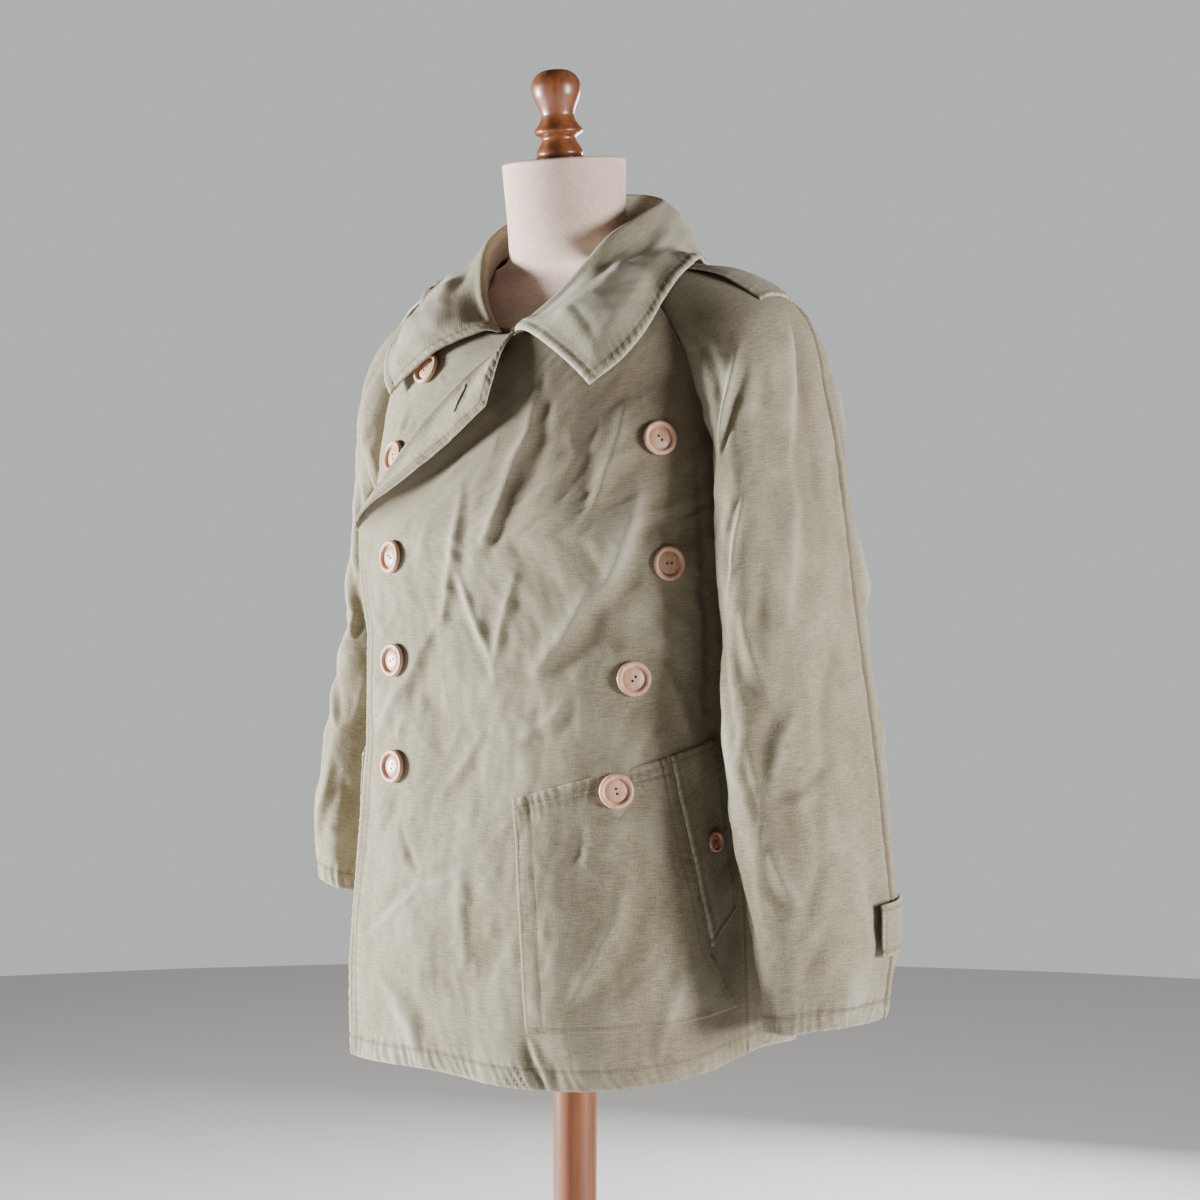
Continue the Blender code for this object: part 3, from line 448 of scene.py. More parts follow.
def link(piece: Object) -> Object:
    """Put an object in the scene."""
    bpy.context.scene.collection.objects.link(piece)
    return piece


def evaluated(piece: Object) -> Mesh:
    """Plain mesh of an object as its modifiers or its curve leave it."""
    bpy.context.view_layer.update()
    return bpy.data.meshes.new_from_object(
        piece.evaluated_get(bpy.context.evaluated_depsgraph_get()))


def grid_corners(number: Array) -> tuple[Array, ...]:
    """Corners of the faces of a grid of numbers."""
    return number[:-1, :-1], number[:-1, 1:], number[1:, 1:], number[1:, :-1]


class MeshParts:
    """Vertices, faces, flat places and marks gathered into one mesh."""

    def __init__(self) -> None:
        """Start with nothing."""
        self.points: list[Array] = []
        self.marks: list[Array] = []
        self.faces: list[Array] = []
        self.count = 0

    def add_points(self, points: Array, marks: Array) -> Array:
        """Add points with their marks and return their numbers in the same shape."""
        shape = points.shape[:-1]
        numbers = self.count + np.arange(int(np.prod(shape))).reshape(shape)
        self.points.append(points.reshape(-1, 3))
        self.marks.append(marks.reshape(-1, marks.shape[-1]))
        self.count += numbers.size
        return numbers

    def add_faces(self, *corners: Array) -> None:
        """Add one face for each set of corner numbers."""
        self.faces.append(np.stack([np.ravel(corner) for corner in corners], -1))

    def mesh(self, name: str, mark_names: Sequence[str]) -> Mesh:
        """Build the mesh, with the first two marks as its UV map.

        Args:
            name: of the mesh.
            mark_names: of the marks after the first two.

        Returns:
            The mesh, shaded smooth.
        """
        points, marks = np.concatenate(self.points), np.concatenate(self.marks)
        loops = np.concatenate([faces.ravel() for faces in self.faces])
        sizes = np.concatenate([np.full(len(faces), faces.shape[1]) for faces in self.faces])
        starts = np.concatenate([[0], np.cumsum(sizes)[:-1]])
        mesh = bpy.data.meshes.new(name)
        mesh.vertices.add(len(points))
        mesh.vertices.foreach_set("co", points.astype(np.float32).ravel())
        mesh.loops.add(len(loops))
        mesh.loops.foreach_set("vertex_index", loops.astype(np.int32))
        mesh.polygons.add(len(sizes))
        mesh.polygons.foreach_set("loop_start", starts.astype(np.int32))
        mesh.update(calc_edges=True)
        flat = mesh.uv_layers.new(name="flat_cloth")
        flat.uv.foreach_set("vector", marks[loops, :2].astype(np.float32).ravel())
        for column, mark in enumerate(mark_names, start=2):
            layer = mesh.attributes.new(mark, "FLOAT", "POINT")
            layer.data.foreach_set("value", marks[:, column].astype(np.float32))
        mesh.validate()
        mesh.shade_smooth()
        return mesh


def new_piece(name: str, mesh: Mesh, finish: Material) -> Object:
    """Put a mesh in the scene as a piece with one material."""
    mesh.materials.append(finish)
    return link(bpy.data.objects.new(name, mesh))


@dataclass
class Cloth:
    """One piece of cloth: a grid of places on its inner face, its relief, and its shell.

    Rows run from the bottom edge to the top one, and columns from the first to the last. The
    numbers of rows and of columns are odd.
    """

    name: str
    base: Array
    normals: Array
    thickness: float
    seed: int
    # painted light mixed into the colour; only the collar sets it
    paleness: Array | float = 0.0
    rows: list[tuple[Array, Array]] = field(init=False, default_factory=list)

    def __post_init__(self) -> None:
        """Measure the flat cloth, with no relief and no marks yet."""
        self.across, self.up = run_along(self.base.swapaxes(0, 1)).T, run_along(self.base)
        self.relief, self.wear, self.painted_shade, self.stain = np.zeros((4, *self.across.shape))
        self.noise = Crumple(self.seed)

    def from_edge(self, edge: Edge) -> Array:
        """Distance of every place from one edge, along the cloth."""
        return {Edge.FIRST: self.across, Edge.LAST: self.across[:, -1:] - self.across,
                Edge.BOTTOM: self.up, Edge.TOP: self.up[-1:] - self.up}[edge]

    def along_edge(self, edge: Edge) -> Array:
        """Distance of every place along one edge."""
        return self.up if edge in UPRIGHT else self.across

    def edge_mask(self, reach: dict[Edge, float]) -> Array:
        """Mask that falls to nought at the edges named, over the reach of each."""
        mask = np.ones(self.relief.shape)
        for edge, width in reach.items():
            mask = mask * smooth(self.from_edge(edge) / width)
        return mask

    def crumple(self, height: float, size: Point, mask: Array | float = 1.0) -> None:
        """Add soft waves of one height and size, across and up, where the mask lets them."""
        wave = self.noise(self.across / size[0] + 0.37, self.up / size[1] + 0.11)
        self.relief += height * wave * mask

    def drape(self, folds: Sequence[Fold], across: Array, up: Array, mask: Array,
              *waves: tuple[float, Point]) -> None:
        """Add folds and soft waves, each a height and a size, where the mask lets them."""
        self.relief += fold_relief(folds, across, up) * mask
        for height, size in waves:
            self.crumple(height, size, mask)

    def flutter(self, height: float, width: float, across: Array, up: Array, depth: float,
                sides: dict[Edge, float]) -> None:
        """Wave the open bottom edge, less and less up to one depth."""
        self.relief += height * self.noise(across / width, up / 0.3) * (
            1 - smooth((self.up - 0.01) / depth)) * self.edge_mask(sides)

    def hem(self, edge: Edge, rows: Sequence[float] = (), fullness: float = 0.0,
            pucker: float = 0.0, pitch: float = 0.008, roll: float = 0.0, wear: float = 1.0,
            span: Point = (0.0, 1.0)) -> None:
        """Turn, stitch and pucker one edge, and keep its stitch rows for the thread.

        Args:
            edge: the edge.
            rows: distances of the stitch rows from it.
            fullness: swell between the edge and the last row.
            pucker: height of the puckers.
            pitch: spacing of the puckers.
            roll: how far the very edge turns down.
            wear: paleness of the edge.
            span: where the rows start and end, as shares of the edge.
        """
        away, along = self.from_edge(edge), self.along_edge(edge)
        last_row = max(rows, default=0.0)
        near = 1 - smooth((away - last_row) / PUCKER_REACH)
        drift = self.noise(along / 0.035 + 3.1, away / 0.030 + 9.7)
        strength = 0.75 + self.noise(along / 0.020 + 1.7, away / 0.050 + 2.3)
        wave = 0.7 * np.sin(2 * np.pi * along / pitch + 9.0 * drift) * strength
        self.relief += pucker * wave * near
        if rows:
            swell = bell(away - 0.5 * last_row, 0.42 * last_row)
            self.relief += fullness * swell * (0.7 + 0.9 * wave)
        for row in rows:
            depth = STITCH_GROOVE + 0.6 * pucker * np.maximum(wave, 0)
            self.relief -= depth * bell(away - row, STITCH_WIDTH)
            self.rows.append(self.line(edge, row, *span))
            # painted shade along the stitch row
            self.paint_shade_line(away - row, STITCH_WIDTH)
        self.relief -= roll * (1 - smooth(away / 0.0025)) ** 2
        worn = np.maximum(1 - away / WORN_REACH, 0.42 * np.maximum(wave, 0) * near)
        self.wear = np.maximum(self.wear, wear * worn * (0.75 + 0.5 * wave))

    def paint_shade_line(self, away: Array, width: float, depth: Array | float = 0.8) -> None:
        """Paint shade along a line where thread or a seam draws the cloth in."""
        self.painted_shade = np.maximum(self.painted_shade, depth * bell(away, width))

    def seam(self, edge: Edge, groove: float = 0.0016, ridge: float = 0.0007,
             pucker: float = 0.0004, strength: Array | float = 1.0) -> None:
        """Draw an edge down into its seam, with the turnings as a low ridge beside it."""
        away, along = self.from_edge(edge), self.along_edge(edge)
        wave = self.noise(along / 0.011 + 5.3, away / 0.012 + 1.9)
        self.relief -= groove * (1 - smooth(away / 0.0032)) * strength
        self.relief += (ridge + pucker * wave) * bell(away - 0.0055, 0.0035) * strength
        self.wear = np.maximum(self.wear, 0.35 * bell(away - 0.005, 0.002) * (0.8 + 0.5 * wave))
        # painted shade along the seam line
        self.paint_shade_line(away, 0.0022, strength)

    def line(self, edge: Edge, distance: float, start: float = 0.0,
             end: float = 1.0) -> tuple[Array, Array]:
        """Fractional rows and columns of a line at one distance from an edge."""
        away = self.from_edge(edge)
        away = away if edge in UPRIGHT else away.T
        last = len(away) - 1
        places = np.arange(int(start * last), int(end * last) + 1)
        order = slice(None, None, -1 if edge in (Edge.LAST, Edge.TOP) else None)
        steps = np.arange(away.shape[1])[order]
        found = np.array([np.interp(distance, away[k][order], steps) for k in places])
        return (places, found) if edge in UPRIGHT else (found, places)

    def settle(self) -> "Cloth":
        """Fix the outer face from the relief."""
        self.outer = self.base + self.normals * (self.thickness + self.relief)[..., None]
        self.facing = grid_normals(self.outer, self.normals)
        return self

    def at(self, row: Array, column: Array) -> tuple[Array, Array]:
        """Points and normals of the outer face at fractional rows and columns."""
        row, column = np.asarray(row, float), np.asarray(column, float)
        low = np.clip(row.astype(int), 0, self.relief.shape[0] - 2)
        left = np.clip(column.astype(int), 0, self.relief.shape[1] - 2)
        t, s = (row - low)[..., None], (column - left)[..., None]

        def between(grid: Array) -> Array:
            """Value of a grid inside one of its cells."""
            under = grid[low, left] * (1 - s) + grid[low, left + 1] * s
            over = grid[low + 1, left] * (1 - s) + grid[low + 1, left + 1] * s
            return under * (1 - t) + over * t

        return between(self.outer), unit(between(self.facing))

    def shell(self, finish: Material) -> Object:
        """Closed shell: a fine outer face, a coarser inner one, and a rounded rim."""
        inner = self.base + self.normals * np.minimum(self.relief, 0.0)[..., None]
        # the wear mark is real wear where positive and painted shade where negative; the fade mark is
        # painted light
        wear = self.wear * (1 - np.minimum(self.painted_shade, 1)) - self.painted_shade
        marks = np.stack([self.across - self.across[:, :1].mean(), self.up, wear, self.relief,
                          np.full(self.relief.shape, self.paleness), self.stain], -1)
        rows, columns = self.rim_places()
        middle = (self.outer[rows, columns] + inner[rows, columns]) / 2
        outwards = unit(np.cross(np.roll(middle, -1, 0) - np.roll(middle, 1, 0),
                                 self.normals[rows, columns]))
        turned = self.turned_over()
        outwards = -outwards if turned else outwards
        parts = MeshParts()
        top = parts.add_points(self.outer, marks)
        under = parts.add_points(inner[::2, ::2], marks[::2, ::2])
        side = parts.add_points(middle + outwards * 0.22 * self.thickness, marks[rows, columns])
        below = np.full(self.relief.shape, -1)
        below[::2, ::2] = under
        over, low = top[rows, columns], below[rows, columns][::2]
        for flip, corners in (
                (turned, grid_corners(top)), (not turned, grid_corners(under)),
                (turned, (np.roll(over, -1), over, side, np.roll(side, -1))),
                (turned, (np.roll(side[::2], -1), side[1::2], side[::2], low, np.roll(low, -1)))):
            parts.add_faces(*(corners[::-1] if flip else corners))
        return new_piece(self.name, parts.mesh(self.name, ("wear", "crease", "fade", "stain")), finish)

    def cut(self) -> Triple:
        """Width, length and area of the flat piece."""
        across, up = np.diff(self.base, axis=1)[:-1], np.diff(self.base, axis=0)[:, :-1]
        area = float(np.linalg.norm(np.cross(across, up), axis=-1).sum())
        width, length = float(self.across[:, -1].max()), float(self.up[-1].max())
        return round(width, 3), round(length, 3), round(min(area, 0.999 * width * length), 5)

    def rim_places(self) -> Array:
        """Rows and columns round the rim, once round."""
        high, wide = (size - 1 for size in self.relief.shape)
        return np.array([(0, j) for j in range(wide)] + [(i, wide) for i in range(high)]
                        + [(high, j) for j in range(wide, 0, -1)]
                        + [(i, 0) for i in range(high, 0, -1)]).T

    def turned_over(self) -> bool:
        """Whether the grid's own order faces inwards."""
        i, j = self.relief.shape[0] // 2, self.relief.shape[1] // 2
        across = self.base[i, j + 1] - self.base[i, j - 1]
        up = self.base[i + 1, j] - self.base[i - 1, j]
        return float(np.cross(across, up) @ self.normals[i, j]) < 0

    @cached_property
    def search(self) -> BVHTree:
        """Search tree of the outer face."""
        number = np.arange(self.relief.size).reshape(self.relief.shape)
        quads = np.stack(grid_corners(number), -1).reshape(-1, 4)
        return BVHTree.FromPolygons(self.outer.reshape(-1, 3).tolist(), quads.tolist())


def grid_normals(grid: Array, towards: Array) -> Array:
    """Normals of a grid of points, on the side that the vectors towards are on."""
    normals = unit(np.cross(np.gradient(grid, axis=1), np.gradient(grid, axis=0)))
    return normals * np.sign((normals * towards).sum(-1, keepdims=True))


def odd(length: float, spacing: float) -> int:
    """Odd number of places for a length at about one spacing."""
    return 2 * max(1, round(length / spacing / 2)) + 1


# ---- thread
THREAD_PITCH = 0.0032


def stitch_places(cloth: Cloth, pitch: float = THREAD_PITCH) -> tuple[Array, ...]:
    """Middles, directions and normals of the stitches in a piece's rows."""
    found = []
    for row, column in cloth.rows:
        points, normals = cloth.at(row, column)
        run = run_along(points)
        stops = np.arange(pitch / 2, run[-1], pitch)
        middle, facing = (np.stack([np.interp(stops, run, values[:, k]) for k in range(3)], -1)
                          for values in (points, normals))
        if len(middle) > 2:
            found.append((middle, unit(np.gradient(middle, axis=0)), unit(facing)))
    return tuple(np.concatenate(part) for part in zip(*found))


class StitchTree:
    """Geometry Nodes tree that lays one stitch of thread on every point."""

    def __init__(self) -> None:
        """Build the tree once."""
        self.tree = bpy.data.node_groups.new("lay_stitches", "GeometryNodeTree")
        face, node = self.tree.interface, Graph(self.tree).node
        self.inputs = {
            name: face.new_socket(name, in_out="INPUT", socket_type="NodeSocket" + kind).identifier
            for name, kind in (("Places", "Geometry"), ("Length", "Float"), ("Width", "Float"),
                               ("Seed", "Int"), ("Thread", "Material"))}
        face.new_socket("Stitches", in_out="OUTPUT", socket_type="NodeSocketGeometry")
        given = node("NodeGroupInput").outputs
        ball = node("GeometryNodeMeshIcoSphere", {"Radius": 0.5, "Subdivisions": 1})
        way, facing = (
            node("GeometryNodeInputNamedAttribute", {"Name": name}, data_type="FLOAT_VECTOR")
            for name in ("way", "facing"))
        turn = node("FunctionNodeAxesToRotation", {"Primary Axis": way.outputs["Attribute"],
                                                   "Secondary Axis": facing.outputs["Attribute"]},
                    primary_axis="X", secondary_axis="Z")
        uneven = node("FunctionNodeRandomValue", {2: 0.82, 3: 1.12, "Seed": given["Seed"]},
                      data_type="FLOAT")
        long = node("Math", {0: given["Length"], 1: uneven.outputs[1]}, operation="MULTIPLY")
        size = node("CombineXYZ", {0: long.outputs[0], 1: given["Width"], 2: given["Width"]})
        lay = node("GeometryNodeInstanceOnPoints", {
            "Points": given["Places"], "Instance": ball.outputs["Mesh"],
            "Rotation": turn.outputs["Rotation"], "Scale": size.outputs[0]})
        real = node("GeometryNodeRealizeInstances", {"Geometry": lay.outputs["Instances"]})
        done = node("GeometryNodeSetMaterial", {"Geometry": real.outputs["Geometry"],
                                                "Material": given["Thread"]})
        node("NodeGroupOutput", {"Stitches": done.outputs["Geometry"]})

    def lay(self, name: str, places: tuple[Array, Array, Array], thread: Material,
            length: float = 0.0026, width: float = 0.00062, seed: int = 1) -> Object:
        """Lay stitches and return them as one plain mesh.

        Args:
            name: of the piece.
            places: middles, directions and normals of the stitches.
            thread: the thread's material.
            length: of one stitch.
            width: of the thread.
            seed: of the unevenness.

        Returns:
            The piece.
        """
        seeds = bpy.data.meshes.new(name + "_places")
        seeds.vertices.add(len(places[0]))
        seeds.vertices.foreach_set("co", places[0].astype(np.float32).ravel())
        for mark, values in zip(("way", "facing"), places[1:]):
            layer = seeds.attributes.new(mark, "FLOAT_VECTOR", "POINT")
            layer.data.foreach_set("vector", values.astype(np.float32).ravel())
        holder = link(bpy.data.objects.new(name + "_places", seeds))
        work = holder.modifiers.new("lay", "NODES")
        work.node_group = self.tree
        for socket, value in (("Length", length), ("Width", width), ("Seed", seed), ("Thread", thread)):
            work[self.inputs[socket]] = value
        mesh = evaluated(holder)
        bpy.data.objects.remove(holder)
        mesh.name = name
        mesh.shade_smooth()
        return link(bpy.data.objects.new(name, mesh))


# ---- finishes
class Graph:
    """Short hand for adding and joining the nodes of one tree."""

    def __init__(self, tree: Tree) -> None:
        """Work on one tree."""
        self.tree = tree

    def node(self, kind: str, inputs: dict[Any, Any] | None = None, **settings: Any) -> bpy.types.Node:
        """Add a node.

        Args:
            kind: its type, a shader node's without the leading ShaderNode.
            inputs: values or sockets for its inputs.
            settings: values for its own properties.

        Returns:
            The node.
        """
        made = self.tree.nodes.new(kind if "Node" in kind else "ShaderNode" + kind)
        for name, value in settings.items():
            setattr(made, name, value)
        self.fill(made, inputs or {})
        return made

    def fill(self, node: bpy.types.Node, inputs: dict[Any, Any]) -> None:
        """Set or join the inputs of a node."""
        for key, value in inputs.items():
            if isinstance(value, Socket):
                self.tree.links.new(value, node.inputs[key])
            else:
                node.inputs[key].default_value = value

    def group(self, tree: Tree, **inputs: Any) -> Any:
        """Outputs of a shared effect."""
        return self.node("Group", inputs, node_tree=tree).outputs

    def math(self, operation: str, *values: Any) -> Socket:
        """Result of a math node."""
        return self.node("Math", dict(enumerate(values)), operation=operation).outputs[0]

    def total(self, *parts: tuple[Any, Any]) -> Socket:
        """Sum of values, each times its weight."""
        result = 0.0
        for value, weight in parts:
            result = self.math("MULTIPLY_ADD", value, weight, result)
        return result

    def mix(self, share: Any, low: Any, high: Any) -> Socket:
        """Mixture of two colours, each a socket or three numbers."""
        low, high = (end if isinstance(end, Socket) else (*end, 1.0) for end in (low, high))
        return self.node("Mix", {0: share, 6: low, 7: high}, data_type="RGBA").outputs[2]

    def span(self, value: Any, low: float, high: float, start: float = 0.0,
             end: float = 1.0) -> Socket:
        """A value's place between two others, clamped, as a mask."""
        return self.node("MapRange", {0: value, 1: low, 2: high, 3: start, 4: end}).outputs[0]

    def noise(self, place: Any, scale: Any, detail: float = 2.0) -> Socket:
        """Fine noise around a half."""
        return self.node("TexNoise", {"Vector": place, "Scale": scale, "Detail": detail,
                                      "Roughness": 0.55}).outputs[0]

    def stretch(self, place: Any, scale: Sequence[float]) -> Socket:
        """A place scaled by different amounts along its axes."""
        return self.node("Mapping", {"Vector": place, "Scale": scale}).outputs[0]

    def flat(self) -> Socket:
        """Place on the flat cloth."""
        return self.node("UVMap", uv_map="flat_cloth").outputs[0]

    def solid(self) -> Socket:
        """Place in the piece as it stands."""
        return self.node("TexCoord").outputs["Object"]

    def mark(self, name: str) -> Socket:
        """A value painted on the piece."""
        return self.node("Attribute", attribute_name=name).outputs["Fac"]

    def bump(self, height: Socket, distance: float, strength: float, invert: bool = False) -> Socket:
        """Normal roughened by a height."""
        return self.node("Bump", {"Height": height, "Distance": distance, "Strength": strength},
                         invert=invert).outputs[0]


def effect(name: str, results: Sequence[str], **given: Any) -> tuple[Graph, Any]:
    """Start a shader node group shared by several finishes.

    Args:
        name: of the group.
        results: names of its outputs, each a number.
        given: its inputs beside its place, and their values.

    Returns:
        Its graph, and the sockets of its inputs.
    """
    graph = Graph(bpy.data.node_groups.new(name, "ShaderNodeTree"))
    sockets = graph.tree.interface
    sockets.new_socket("Place", in_out="INPUT", socket_type="NodeSocketVector")
    for key, value in given.items():
        sockets.new_socket(key, in_out="INPUT", socket_type="NodeSocketFloat").default_value = value
    for key in results:
        sockets.new_socket(key, in_out="OUTPUT", socket_type="NodeSocketFloat")
    return graph, graph.node("NodeGroupInput").outputs


def weave_effect() -> Tree:
    """Plain weave with uneven threads: puts out its height and the paleness of its slubs."""
    graph, given = effect("weave", ("Height", "Streak"), Thread=0.001, Slub=0.5)
    place = given["Place"]
    split = graph.node("SeparateXYZ", {0: place}).outputs
    rate = graph.math("DIVIDE", math.pi, given["Thread"])
    drift = graph.math("MULTIPLY", graph.noise(place, 160.0, 1.0), 5.0)
    warp, weft = (graph.math("SINE", graph.math("MULTIPLY_ADD", split[k], rate, drift)) for k in (0, 1))
    slubs = [graph.span(graph.noise(graph.stretch(place, (*scale, 1.0)), 1.0, detail), low, 1 - low)
             for scale, detail, low in (((80.0, 800.0), 2.0, 0.33), ((800.0, 90.0), 2.0, 0.33),
                                        ((560.0, 780.0), 1.0, 0.36))]
    streak = graph.total(*zip(slubs, (0.46, 0.20, 0.34)))
    height = graph.total((graph.math("MULTIPLY", warp, weft), 0.15), (streak, given["Slub"]))
    graph.node("NodeGroupOutput", {"Height": height, "Streak": streak})
    return graph.tree


def fading_effect() -> Tree:
    """Broad and small patches of fading, between nought and one."""
    graph, given = effect("fading", ("Patch",), Broad=5.0, Small=34.0)
    broad = graph.span(graph.noise(given["Place"], given["Broad"], 2.0), 0.36, 0.64)
    small = graph.span(graph.noise(given["Place"], given["Small"], 3.0), 0.32, 0.68)
    graph.node("NodeGroupOutput", {"Patch": graph.total((broad, 0.6), (small, 0.4))})
    return graph.tree


def grain_effect() -> Tree:
    """Wood grain along Z: its figure and its pores."""
    graph, given = effect("wood_grain", ("Figure", "Pores"), Fine=90.0, Long=6.0)
    split = graph.node("SeparateXYZ", {0: given["Place"]}).outputs
    slow = graph.node("CombineXYZ", {
        k: graph.math("MULTIPLY", split[k], given[rate])
        for k, rate in enumerate(("Fine", "Fine", "Long"))}).outputs[0]
    graph.node("NodeGroupOutput", {
        "Figure": graph.span(graph.noise(slow, 1.0, 4.0), 0.3, 0.7),
        "Pores": graph.span(graph.noise(graph.stretch(slow, (7.0, 7.0, 5.0)), 1.0), 0.55, 0.72)})
    return graph.tree


class Effects:
    """The shared effects, each built once."""

    def __init__(self) -> None:
        """Build them."""
        self.weave, self.fading, self.grain = weave_effect(), fading_effect(), grain_effect()


def new_finish(name: str) -> tuple[Material, Graph, bpy.types.Node]:
    """A new material with its graph and its shader."""
    material = bpy.data.materials.new(name)
    material.use_nodes = True
    return material, Graph(material.node_tree), material.node_tree.nodes["Principled BSDF"]


@dataclass(frozen=True)
class Finish:
    """A material read from the piece's flat cloth and its solid place."""

    name: str

    def material(self, effects: Effects) -> Material:
        """Build the material."""
        material, graph, shader = new_finish(self.name)
        graph.fill(shader, self.inputs(graph, effects))
        return material

    def inputs(self, graph: Graph, effects: Effects) -> dict[str, Any]:
        """What goes into the shader."""
        raise NotImplementedError


@dataclass(frozen=True)
class CanvasFinish(Finish):
    """Faded cotton canvas, dry and matt, pale along its worn edges, with painted shade in its creases,
    seams and stitch lines.
    """

    deep: Triple = (0.142, 0.116, 0.064)
    pale: Triple = (0.385, 0.342, 0.242)
    worn: Triple = (0.560, 0.525, 0.440)
    # colour of the painted shade
    shade: Triple = (0.120, 0.090, 0.055)
    stain: Triple = (0.20, 0.115, 0.045)
    thread: float = 0.0011
    relief: float = 0.00035

    def inputs(self, graph: Graph, effects: Effects) -> dict[str, Any]:
        """Fading, painted light, painted shade in troughs, seams, stitch lines and on the front, paler
        crests, worn edges and stains.
        """
        weave = graph.group(effects.weave, Place=graph.flat(), Thread=self.thread, Slub=0.75)
        patch = graph.group(effects.fading, Place=graph.solid())["Patch"]
        streak, crease, wear = weave["Streak"], graph.mark("crease"), graph.mark("wear")
        # the fade mark adds painted light, which makes the collar's near leaf paler
        share = graph.total((streak, 0.80), (patch, 0.34), (graph.mark("fade"), 1.0), (-0.10, 1.0))
        fray = graph.math("MULTIPLY", graph.math("MAXIMUM", wear, 0.0),
                          graph.span(streak, 0.1, 0.8, 0.35, 1.0))
        cloth = graph.mix(share, self.deep, self.pale)
        # painted shade in crease troughs, paler crests, painted shade where the wear mark is negative,
        # frayed worn edges, then stains
        for mask, colour in ((graph.span(crease, 0.0, -0.0045, 0.0, 0.45), self.shade),
                             (graph.span(crease, 0.0005, 0.005, 0.0, 0.35), self.worn),
                             (graph.span(wear, 0.0, -0.8, 0.0, 0.62), self.shade),
                             (graph.math("MINIMUM", graph.math("MULTIPLY", fray, 0.85), 1.0), self.worn),
                             (graph.span(graph.mark("stain"), 0.0, 1.0, 0.0, 0.75), self.stain)):
            cloth = graph.mix(mask, cloth, colour)
        return {"Base Color": cloth, "Normal": graph.bump(weave["Height"], self.relief, 0.9),
                "Roughness": 0.92, "Specular IOR Level": 0.18, "Sheen Weight": 0.12,
                "Sheen Roughness": 0.6}


@dataclass(frozen=True)
class LinenFinish(Finish):
    """Fine undyed linen stretched over the form."""

    deep: Triple = (0.490, 0.320, 0.240)
    pale: Triple = (0.870, 0.700, 0.620)

    def inputs(self, graph: Graph, effects: Effects) -> dict[str, Any]:
        """Uneven threads and slight fading."""
        weave = graph.group(effects.weave, Place=graph.flat(), Thread=0.0013, Slub=0.6)
        patch = graph.group(effects.fading, Place=graph.solid(), Broad=9.0, Small=60.0)["Patch"]
        share = graph.total((weave["Streak"], 0.60), (patch, 0.45))
        return {"Base Color": graph.mix(share, self.deep, self.pale),
                "Normal": graph.bump(weave["Height"], 0.0002, 0.8), "Roughness": 0.88,
                "Specular IOR Level": 0.2}


@dataclass(frozen=True)
class WoodFinish(Finish):
    """Turned wood under varnish, or satin where the coat is thin."""

    dark: Triple
    light: Triple
    fine: float = 90.0
    long: float = 6.0
    roughness: float = 0.35
    coat: float = 0.4

    def inputs(self, graph: Graph, effects: Effects) -> dict[str, Any]:
        """Grain with darker pores, paler where proud."""
        grain = graph.group(effects.grain, Place=graph.solid(), Fine=self.fine, Long=self.long)
        wood = graph.mix(grain["Figure"], self.dark, self.light)
        wood = graph.mix(graph.math("MULTIPLY", grain["Pores"], 0.35), wood,
                         [0.45 * part for part in self.dark])
        wood = graph.mix(graph.math("MULTIPLY", graph.mark("wear"), 0.5), wood,
                         [min(1.0, 1.25 * part) for part in self.light])
        rough = graph.span(grain["Figure"], 0.0, 1.0, self.roughness + 0.08, self.roughness - 0.05)
        return {"Base Color": wood, "Roughness": rough,
                "Normal": graph.bump(grain["Pores"], 0.0001, 0.5, True),
                "Coat Weight": self.coat, "Coat Roughness": 0.15}


@dataclass(frozen=True)
class ThreadFinish(Finish):
    """Sewing thread, slightly glossier than the cloth."""

    dark: Triple
    light: Triple

    def inputs(self, graph: Graph, effects: Effects) -> dict[str, Any]:
        """Uneven dye."""
        share = graph.span(graph.noise(graph.solid(), 260.0), 0.35, 0.65)
        return {"Base Color": graph.mix(share, self.dark, self.light), "Roughness": 0.75}


# ---- body panels
def even_places(line: Array, count: int) -> Array:
    """Shares of a line of points that cut it into equal lengths."""
    run = run_along(line)
    return np.interp(np.linspace(0, run[-1], count), run, np.linspace(0, 1, len(line)))


